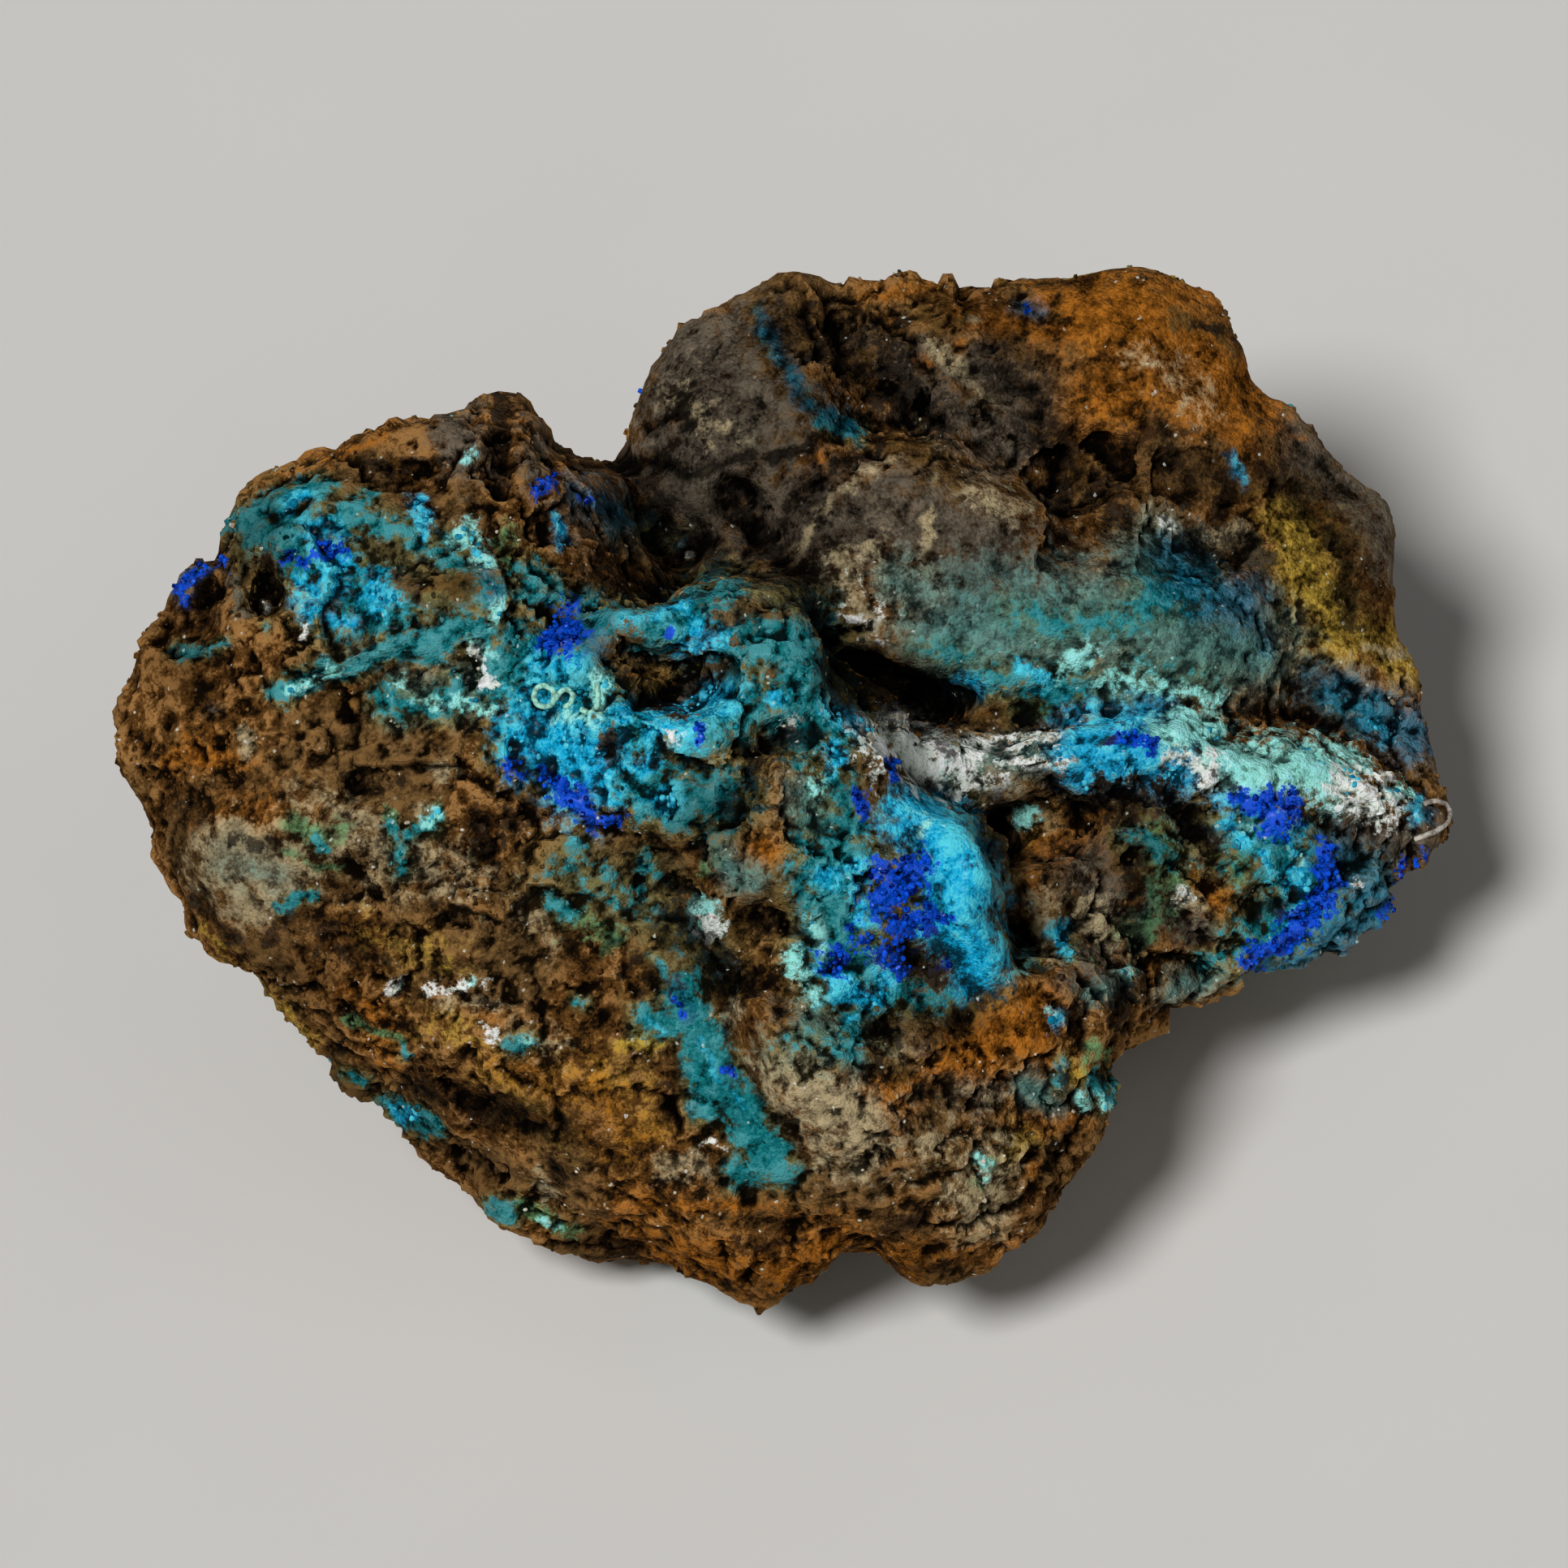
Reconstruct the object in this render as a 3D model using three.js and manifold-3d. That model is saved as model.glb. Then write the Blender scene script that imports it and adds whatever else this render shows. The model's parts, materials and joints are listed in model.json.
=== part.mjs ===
// Chrysocolla and malachite specimen: one natural stone with a rugged show face, a broken back and a
// flat underside that it rests on. Millimetres, +Z up.
import * as THREE from "three";
import { ImprovedNoise } from "three/addons/math/ImprovedNoise.js";
import { mergeVertices } from "three/addons/utils/BufferGeometryUtils.js";
import Module from "manifold-3d";

// The show face leans back from the floor. Outlines are drawn on it: x across, y up the face.
const SHOW_FACE_TILT = 50;
const FLOOR_DEPTH = 26;
const FLOOR_SPAN = 400;

// Fineness of the skin, and the share of it, measured from the front pole, that the show face takes
const SKIN_DETAIL = 19;
const SHOW_FACE_REACH = 125;

// The rim stands this far behind the relief, and the skin rounds over to it
const RIM_SETBACK = 5;
const RIM_SHARPNESS = 7;

// Slope of the blocks' broken sides, and how widely two blocks blend where they meet
const SIDE_SLOPE = 4.5;
const BLEND_HEIGHT = 2;

// The back's corners are worn round: the outline is averaged over this many steps of this angle
const WEAR_STEPS = 4;
const WEAR_ANGLE = 0.12;
const RIM_ANGLE = 0.05;

// Roughness of the broken surface: height, and the length of its longest waves
const SHOWN_ROUGHNESS = 1;
const HIDDEN_ROUGHNESS = 2.6;
const ROUGHNESS_LENGTH = 13;

const STONE_COLOUR = "#6b5136";
const STONE_ROUGHNESS = 0.85;

const STONE_OUTLINE = {
  outline: [
    [-41, 3.3], [-39.2, -1.7], [-39.6, -4.2], [-37, -6.7], [-35.2, -11], [-32, -12], [-31.3, -14],
    [-28.3, -18.2], [-24.8, -20], [-21.8, -23.4], [-19.6, -24.5], [-18.3, -26.7], [-14, -29.2],
    [-8.3, -29.7], [-4.3, -31.3], [-1.3, -32.2], [1.7, -30.5], [4.7, -28.9], [5.9, -30.4], [9.2, -31.1],
    [12, -30.6], [16.6, -26.7], [17, -24.7], [19.6, -22.1], [20.5, -19.5], [20.2, -17.6], [22.1, -16.2],
    [22.6, -14.7], [26, -13.9], [28.2, -11.7], [31.7, -11.5], [35.1, -10.2], [37.8, -7.5], [38.7, -5.5],
    [41.3, -2.5], [41, -1], [38.9, 0.5], [39.9, 2.6], [39.3, 3.8], [39.8, 6.1], [39, 8.3], [37.3, 11.6],
    [37.8, 14.3], [37.2, 16.7], [34, 20.1], [32, 22.7], [29.4, 23.8], [29.6, 26.7], [28, 28.2],
    [26.2, 30.5], [23.2, 31.7], [20, 32.2], [17.2, 31.3], [12, 31.2], [10.2, 30.7], [5.2, 31.4],
    [1, 30.8], [-2.3, 29.9], [-4.8, 29.2], [-6.8, 28.1], [-7.6, 26.6], [-9.4, 22.8], [-10, 21],
    [-9.6, 19.8], [-10.5, 18.3], [-11.8, 18.6], [-13.3, 20.3], [-14.1, 22.7], [-17.4, 23.2],
    [-18.5, 24], [-23.3, 22.8], [-26.8, 21.3], [-31.6, 19.4], [-33.3, 18.3], [-34.4, 16.3],
    [-34.3, 14.8], [-35.2, 13], [-36.3, 13.4], [-37.7, 12.6], [-38.6, 9.6], [-40, 7.8], [-39.8, 6],
  ],
  middle: [-0.3, 0.3],
};

// Blocks of the show face: outline, the middle that sees all of it, how far the block's edge stands out
// of the face and leans across and up it, and the rise of its top over its edge
const BLOCKS = {
  leftMass: {
    outline: [
      [-44, 3], [-40, -8], [-32, -13.5], [-25.5, -17.5], [-20, -21], [-14, -24.5], [-7, -29], [0, -33],
      [6, -30], [8, -24], [7, -14], [4, 1], [-5.3, 8.3], [-10.5, 12.3], [-11.5, 16], [-14, 22],
      [-19, 26], [-30, 22], [-38, 16],
    ],
    middle: [-19, -2],
    edge: 6.5,
    lean: [0.03, -0.04],
    rise: 6,
  },
  leftLedge: {
    outline: [
      [-38, -5], [-36, -12], [-30, -18], [-20, -28], [-8, -31], [-2, -29], [-8, -22], [-20, -14],
      [-30, -5],
    ],
    middle: [-20, -19],
    edge: 2,
    lean: [0, 0],
    rise: 2,
  },
  centreRidge: {
    outline: [
      [-11.6, 9.9], [-8.3, 10.1], [-4.3, 11.9], [1.2, 11.3], [2, 8.3], [2.7, 5.8], [6.7, 2.3],
      [7.7, -1], [11.2, -2.2], [13, -5.2], [13, -7.7], [14, -11.2], [9.7, -13.5], [1.7, -14.7],
      [-3.3, -12.7], [-6.8, -7.7], [-10.3, -2.2], [-13.8, 3.3], [-13.8, 8.3],
    ],
    middle: [-0.3, -1.7],
    edge: 10,
    lean: [-0.1, 0],
    rise: 5.5,
  },
  lowerBlock: {
    outline: [
      [-3.8, -12.2], [1.7, -13.2], [9.2, -12.5], [14, -11.2], [19, -11.5], [24, -15.5], [22.5, -21],
      [18, -27], [12, -33], [6, -32], [3.7, -27.7], [1.2, -24.7], [-0.3, -21.2], [-2.3, -16.7],
    ],
    middle: [8, -20.5],
    edge: 8,
    lean: [-0.4, 0.15],
    rise: 5,
  },
  rightLobe: {
    outline: [
      [8, 1], [11.7, 1.8], [18.7, 3.4], [25.7, 3.1], [31.7, 2.1], [38.9, 0.5], [43, -2], [38.7, -7.5],
      [32, -12.5], [26, -15], [18.2, -15], [11.7, -11.7],
    ],
    middle: [24, -5],
    edge: -6.5,
    lean: [-0.2, -0.05],
    rise: 4,
  },
  boulderFace: {
    outline: [
      [4.7, 20.8], [9.2, 20], [14.7, 17.3], [17.5, 15], [22.7, 14.8], [27.5, 13], [30.2, 9.5],
      [30, 5], [25.7, 3.8], [18.2, 4], [11.7, 3], [6.2, 4], [1.7, 7.5], [-1.8, 11.3], [-2.8, 13.3],
      [-0.3, 17],
    ],
    middle: [13, 10.5],
    edge: -8,
    lean: [-0.1, 0],
    rise: 3.5,
  },
  boulderDome: {
    outline: [
      [-10.5, 17], [-10.5, 24], [-7, 30], [0.5, 31], [2.5, 27], [4.2, 22], [3.7, 18], [0, 14.5],
      [-4, 12.5], [-9, 13],
    ],
    middle: [-3.5, 20.5],
    edge: -10.5,
    lean: [0.15, -0.1],
    rise: 4,
  },
  boulderTop: {
    outline: [
      [2, 33], [20, 35], [30, 30], [36, 22], [42, 10], [42, 0], [28, 0], [10, 4], [4, 20],
    ],
    middle: [20, 15],
    edge: -14,
    lean: [-0.12, -0.05],
    rise: 3.5,
  },
};
const CREVICE_FLOOR = -15;

// Broken faces of the back and sides: a point on each, across, back and up, and the way it looks
const BACK_FACES = {
  underside: { at: [0, 0, -30], looks: [0, 0, -1] },
  rear: { at: [10, 35, -8], looks: [0.1, 1, 0.12] },
  rearLeft: { at: [-22, 26, -8], looks: [-0.45, 0.85, 0.1] },
  rearRight: { at: [30, 31, -8], looks: [0.65, 0.75, -0.1] },
  left: { at: [-38, 8, -12], looks: [-1, 0.15, -0.3] },
  right: { at: [38, 16, -11], looks: [1, 0.25, -0.3] },
  leftUndercut: { at: [-26, -9, -18], looks: [-0.6, -0.35, -0.8] },
  frontUndercut: { at: [0, -22, -21], looks: [0.05, -0.6, -0.85] },
  rightUndercut: { at: [24, -2, -18], looks: [0.55, -0.3, -0.8] },
};

// Pockets: place on the show face and out of it, then half-widths across, up and out, and turn
const POCKETS = [
  { name: "crust hollow", at: [-7, 6.3, 15.5], half: [4.8, 2, 4], turn: -12 },
  { name: "crevice behind the ridge", at: [7, 5.6, -7], half: [4.5, 2.4, 6], turn: -35 },
  { name: "hollow under the vein", at: [15, -2.8, -3], half: [4.5, 2.4, 5], turn: -8 },
  { name: "upper hollow", at: [18.5, 19, -10], half: [4, 2.8, 5], turn: 20 },
  { name: "left hollow", at: [-31.8, 11.5, 9.5], half: [1.6, 2.2, 3], turn: 0 },
];
const POCKET_DETAIL = 3;

const tilt = THREE.MathUtils.degToRad(SHOW_FACE_TILT);
const ACROSS = new THREE.Vector3(1, 0, 0);
const UP_FACE = new THREE.Vector3(0, Math.sin(tilt), Math.cos(tilt));
const OUT_OF_FACE = new THREE.Vector3(0, -Math.cos(tilt), Math.sin(tilt));
const RIM_LEVEL = Math.cos(THREE.MathUtils.degToRad(SHOW_FACE_REACH));

const wasm = await Module();
wasm.setup();
const perlin = new ImprovedNoise();

// A point given across, up and out of the show face
function onFace(across, up, out) {
  return new THREE.Vector3()
    .addScaledVector(ACROSS, across)
    .addScaledVector(UP_FACE, up)
    .addScaledVector(OUT_OF_FACE, out);
}

// Three octaves of noise, each half as long and half as high as the one before
function ruggedness(point) {
  let sum = 0;
  let height = 1;
  let frequency = 1 / ROUGHNESS_LENGTH;
  for (let octave = 0; octave < 3; octave += 1) {
    const { x, y, z } = point.clone().multiplyScalar(frequency);
    sum += height * perlin.noise(x, y, z + 7 * octave);
    height /= 2;
    frequency *= 2;
  }
  return sum;
}

// Distance from the middle of an outline to its edge in one heading
function reach({ outline, middle }, heading) {
  const ray = [Math.cos(heading), Math.sin(heading)];
  let nearest = Infinity;
  outline.forEach(([x0, y0], i) => {
    const [x1, y1] = outline[(i + 1) % outline.length];
    const [ax, ay] = [x0 - middle[0], y0 - middle[1]];
    const [ex, ey] = [x1 - x0, y1 - y0];
    const cross = ray[0] * ey - ray[1] * ex;
    const along = (ax * ey - ay * ex) / cross;
    const share = (ax * ray[1] - ay * ray[0]) / cross;
    if (along > 0 && share >= 0 && share <= 1) nearest = Math.min(nearest, along);
  });
  return nearest;
}

// The same distance where the outline's corners have worn round
function wornReach(shape, heading) {
  let sum = 0;
  for (let step = -WEAR_STEPS; step <= WEAR_STEPS; step += 1) {
    sum += reach(shape, heading + step * WEAR_ANGLE);
  }
  return sum / (2 * WEAR_STEPS + 1);
}

// Level of the rim in one heading, evened out along it
function rimLevel(heading) {
  let sum = 0;
  for (let step = -WEAR_STEPS; step <= WEAR_STEPS; step += 1) {
    const turned = heading + step * RIM_ANGLE;
    const edge = reach(STONE_OUTLINE, turned);
    const across = STONE_OUTLINE.middle[0] + edge * Math.cos(turned);
    const up = STONE_OUTLINE.middle[1] + edge * Math.sin(turned);
    sum += relief(across, up);
  }
  return sum / (2 * WEAR_STEPS + 1) - RIM_SETBACK;
}

// Height of one block at a place on the show face: rounded on top, steep outside its outline
function blockHeight(block, across, up) {
  const [dx, dy] = [across - block.middle[0], up - block.middle[1]];
  const distance = Math.hypot(dx, dy);
  const edge = reach(block, Math.atan2(dy, dx));
  const level = block.edge + block.lean[0] * dx + block.lean[1] * dy;
  if (distance > edge) return level - SIDE_SLOPE * (distance - edge);
  return level + block.rise * Math.sqrt(1 - (distance / edge) ** 2);
}

// The higher of two levels, with the crease between them filled
function blended(a, b) {
  const overlap = Math.max(BLEND_HEIGHT - Math.abs(a - b), 0);
  return Math.max(a, b) + overlap ** 2 / (4 * BLEND_HEIGHT);
}

function relief(across, up) {
  const heights = Object.values(BLOCKS).map((block) => blockHeight(block, across, up));
  return heights.reduce(blended, CREVICE_FLOOR);
}

// Depth of the back at a place on the show face: the first broken face met from behind
function backDepth(across, up) {
  const place = onFace(across, up, 0);
  const depths = Object.values(BACK_FACES).map(({ at, looks }) => {
    const normal = new THREE.Vector3(...looks);
    const gap = new THREE.Vector3(...at).sub(place).dot(normal);
    return gap / normal.dot(OUT_OF_FACE);
  });
  return Math.max(...depths);
}

function sphere(detail) {
  const geometry = new THREE.IcosahedronGeometry(1, detail);
  geometry.deleteAttribute("normal");
  geometry.deleteAttribute("uv");
  return mergeVertices(geometry, 1e-5);
}

function solid(geometry) {
  const vertProperties = new Float32Array(geometry.attributes.position.array);
  const triVerts = new Uint32Array(geometry.index.array);
  return new wasm.Manifold(new wasm.Mesh({ numProp: 3, vertProperties, triVerts }));
}

// A sphere whose front cap is spread evenly over the show face and whose rest is spread over the back
function stoneBody() {
  const geometry = sphere(SKIN_DETAIL);
  const position = geometry.attributes.position;
  const unit = new THREE.Vector3();
  for (let i = 0; i < position.count; i += 1) {
    unit.fromBufferAttribute(position, i);
    const heading = Math.atan2(unit.y, unit.x);
    const shown = unit.z > RIM_LEVEL;
    const pole = shown ? 1 : -1;
    const span = Math.sqrt((pole - unit.z) / (pole - RIM_LEVEL));
    const edge = reach(STONE_OUTLINE, heading);
    const worn = shown ? edge : THREE.MathUtils.lerp(wornReach(STONE_OUTLINE, heading), edge, span ** 6);
    const across = STONE_OUTLINE.middle[0] + span * worn * Math.cos(heading);
    const up = STONE_OUTLINE.middle[1] + span * worn * Math.sin(heading);
    const rim = rimLevel(heading);
    const level = shown ? relief(across, up) : Math.min(rim, backDepth(across, up));
    const fullness = Math.sqrt(1 - span ** RIM_SHARPNESS);
    const point = onFace(across, up, THREE.MathUtils.lerp(rim, level, fullness));
    const outward = onFace(span * Math.cos(heading), span * Math.sin(heading), pole * fullness);
    const extra = shown ? 0 : fullness * (HIDDEN_ROUGHNESS - SHOWN_ROUGHNESS);
    point.addScaledVector(outward, (SHOWN_ROUGHNESS + extra) * ruggedness(point));
    position.setXYZ(i, point.x, point.y, point.z);
  }
  return solid(geometry);
}

function pocket({ at, half, turn }) {
  const geometry = sphere(POCKET_DETAIL);
  const position = geometry.attributes.position;
  const unit = new THREE.Vector3();
  for (let i = 0; i < position.count; i += 1) {
    unit.fromBufferAttribute(position, i);
    unit.multiply(new THREE.Vector3(...half));
    unit.applyAxisAngle(new THREE.Vector3(0, 0, 1), THREE.MathUtils.degToRad(turn));
    const point = onFace(unit.x + at[0], unit.y + at[1], unit.z + at[2]);
    position.setXYZ(i, point.x, point.y, point.z);
  }
  return solid(geometry);
}

// Everything under the floor is cut away, which leaves the flat face the stone rests on.
function underFloor() {
  const geometry = new THREE.BoxGeometry(FLOOR_SPAN, FLOOR_SPAN, FLOOR_SPAN);
  geometry.deleteAttribute("normal");
  geometry.deleteAttribute("uv");
  geometry.translate(0, 0, -FLOOR_DEPTH - FLOOR_SPAN / 2);
  return solid(mergeVertices(geometry, 1e-5));
}

const hollowed = POCKETS.map(pocket).reduce((whole, hollow) => whole.subtract(hollow), stoneBody());
const rested = hollowed.subtract(underFloor()).getMesh();

const geometry = new THREE.BufferGeometry();
geometry.setAttribute("position", new THREE.BufferAttribute(rested.vertProperties, 3));
geometry.setIndex(new THREE.BufferAttribute(rested.triVerts, 1));
geometry.computeBoundingBox();
const { min, max } = geometry.boundingBox;
geometry.translate(-(min.x + max.x) / 2, -(min.y + max.y) / 2, -min.z);
geometry.computeVertexNormals();

const stone = new THREE.MeshStandardMaterial({
  color: STONE_COLOUR,
  roughness: STONE_ROUGHNESS,
  metalness: 0,
});
const specimen = new THREE.Mesh(geometry, stone);
specimen.name = "specimen";

const group = new THREE.Group();
group.name = "chrysocolla_and_malachite_specimen";
group.add(specimen);
export default group;
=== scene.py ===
"""A weathered lump of copper ore: brown rock with chrysocolla, malachite and azurite crusts."""

import json
import math
from collections import namedtuple
from contextlib import contextmanager

import bpy
import numpy as np
from bpy.props import FloatProperty, FloatVectorProperty, IntProperty, PointerProperty
from mathutils import Euler, Matrix, Vector, noise

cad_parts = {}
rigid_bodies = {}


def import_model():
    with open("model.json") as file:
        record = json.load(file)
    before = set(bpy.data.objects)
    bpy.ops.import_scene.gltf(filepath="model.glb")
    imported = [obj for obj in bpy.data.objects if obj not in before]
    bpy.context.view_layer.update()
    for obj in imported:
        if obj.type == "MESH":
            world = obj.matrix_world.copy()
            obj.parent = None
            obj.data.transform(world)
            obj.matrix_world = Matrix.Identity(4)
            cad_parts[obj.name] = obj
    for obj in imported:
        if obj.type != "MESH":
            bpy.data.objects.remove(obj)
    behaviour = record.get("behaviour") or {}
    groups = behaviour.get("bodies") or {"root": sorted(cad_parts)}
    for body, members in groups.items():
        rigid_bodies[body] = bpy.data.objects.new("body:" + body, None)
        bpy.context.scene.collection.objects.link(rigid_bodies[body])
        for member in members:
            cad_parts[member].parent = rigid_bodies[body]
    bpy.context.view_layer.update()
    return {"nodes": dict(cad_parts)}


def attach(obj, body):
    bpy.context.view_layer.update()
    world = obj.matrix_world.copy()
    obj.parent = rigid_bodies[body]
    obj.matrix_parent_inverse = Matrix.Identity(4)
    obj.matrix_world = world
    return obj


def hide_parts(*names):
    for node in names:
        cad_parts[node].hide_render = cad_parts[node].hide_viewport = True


bl_info = {
    "name": "Chrysocolla and malachite specimen",
    "version": (1, 0, 0),
    "blender": (4, 5, 0),
    "location": "3D View > Sidebar > Specimen",
    "description": "Shapes and colours a lump of copper ore around its packed solid",
    "category": "Add Mesh",
}

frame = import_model()
STONE_NODE = "specimen"
STONE_BODY = "root"

MM = 0.001

# The show face is seen square on from this height above the floor.
VIEW_ELEVATION = math.radians(50)
ACROSS = np.array((1.0, 0.0, 0.0))
UP_FACE = np.array((0.0, math.sin(VIEW_ELEVATION), math.cos(VIEW_ELEVATION)))
OUT_OF_FACE = np.array((0.0, -math.cos(VIEW_ELEVATION), math.sin(VIEW_ELEVATION)))

# The picture's side and middle in pixels, then in mm: the size of a pixel on the face, the distance of the
# camera, how far the face's middle is right of and above the picture's, and the width of the sensor.
PICTURE_SIDE = 1932
PICTURE_MIDDLE = PICTURE_SIDE / 2
PIXEL = 0.05
CAMERA_DISTANCE = 900.0
FRAMING = (0.6, 0.4)
SENSOR_WIDTH = 36.0

# The lights: how wide each looks, and its azimuth and elevation, in degrees. The colour of the air.
LIGHTS = {"key": (16.0, -36.0, 56.0), "fill": (60.0, 55.0, 40.0)}
AIR_COLOUR = (1.0, 0.98, 0.95, 1.0)

# In mm: how close points of the solid are joined, the length of a face of the first skin, and the least
# height above the floor at which grains and crumbs sit.
WELD = 0.001
FIRST_SKIN = 0.5
LOWEST_GRAIN = 1.0
LOWEST_CRUMB = 2.0

# Faces that look towards the viewer by more than this are made finer. Edges sharper than this stay sharp.
FINE_FACING = 0.22
SHARP_EDGE = math.radians(38)

# The share of a mineral where there is none of it.
NOT_THERE = -0.6

# Where a hollow starts and where it has its full depth, in half widths from its line.
FLANK = (1.6, 0.1)

# Noise is turned off the axes, and each seed moves it on by this step. Finer lumps fade by the first value
# and are smaller by the second. The keys keep the chances that one grain draws apart.
NOISE_TURN = np.array(Euler((0.61, 0.37, 0.89)).to_matrix())
SEED_STEP = np.array((17.3, -9.1, 5.7))
LUMP_FADE, LUMP_RATIO = 0.9, 2.0
TILT_KEY, STEP_KEY, PIT_KEY, RADIUS_KEY = 31.0, 57.0, 43.0, 71.0

# Broken chips: how steep they lie and how far they step. Round pits: least radius, and what is added.
CHIP_TILT, CHIP_STEP = 1.35, 0.4
PIT_RADIUS, PIT_RADIUS_MORE = 0.2, 0.25

# Noise patterns: the size of their lumps in mm, and the seed.
PATTERNS = {
    "broad bumps": (6.5, 1),
    "large chips": (5.5, 2),
    "small chips": (2.2, 3),
    "grit": (1.3, 4),
    "large pits": (2.6, 5),
    "crust beads": (1.0, 6),
    "underside": (4.0, 7),
    "crust edges": (1.4, 8),
    "grains": (0.95, 9),
    "small pits": (1.3, 10),
    "pitted places": (7.0, 11),
    "shattered places": (8.0, 12),
    "bead clusters": (2.2, 14),
    "hollow walls": (1.8, 25),
    "broad tone": (5.0, 51),
    "fine tone": (1.5, 52),
    "olive": (9.0, 53),
    "bend across": (2.4, 61),
    "bend back": (2.4, 62),
    "bend up": (2.4, 63),
}
BENDS = ("bend across", "bend back", "bend up")
BEND_REACH = 0.45

# The noise that makes patches ragged: the size of its lumps in mm, its reach in pixels, and the seed.
RAGGED_EDGES = {"coarse": (4.0, 12.0, 21), "fine": (1.3, 7.0, 23)}

# The seeds of the grains' random draws.
CHANCES = {"azurite": 11, "quartz": 12, "beads": 13, "crumbs": 14}

# Grains: the range of their lengths and of their stretch, as shares of their size, and how far they lean.
GRAIN_LENGTHS = (0.6, 1.5)
GRAIN_STRETCH = (0.75, 1.25)
GRAIN_LEAN = 0.35

# Crumbs: how many shapes they come in, how far their tones differ, and how deep they count as lying, which
# sets the painted shade in their colour.
CRUMB_SHAPES = 4
CRUMB_TONES = 0.4
CRUMB_DENT = 0.45

# Quartz sits on the rough rock only where each of these is weaker, and then on this share of the points.
DRY_LIMITS = {"teal": 0.2, "dark": 0.1, "gloom": 0.2, "grey": 0.4}
DRY_SHARE = 0.004

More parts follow.
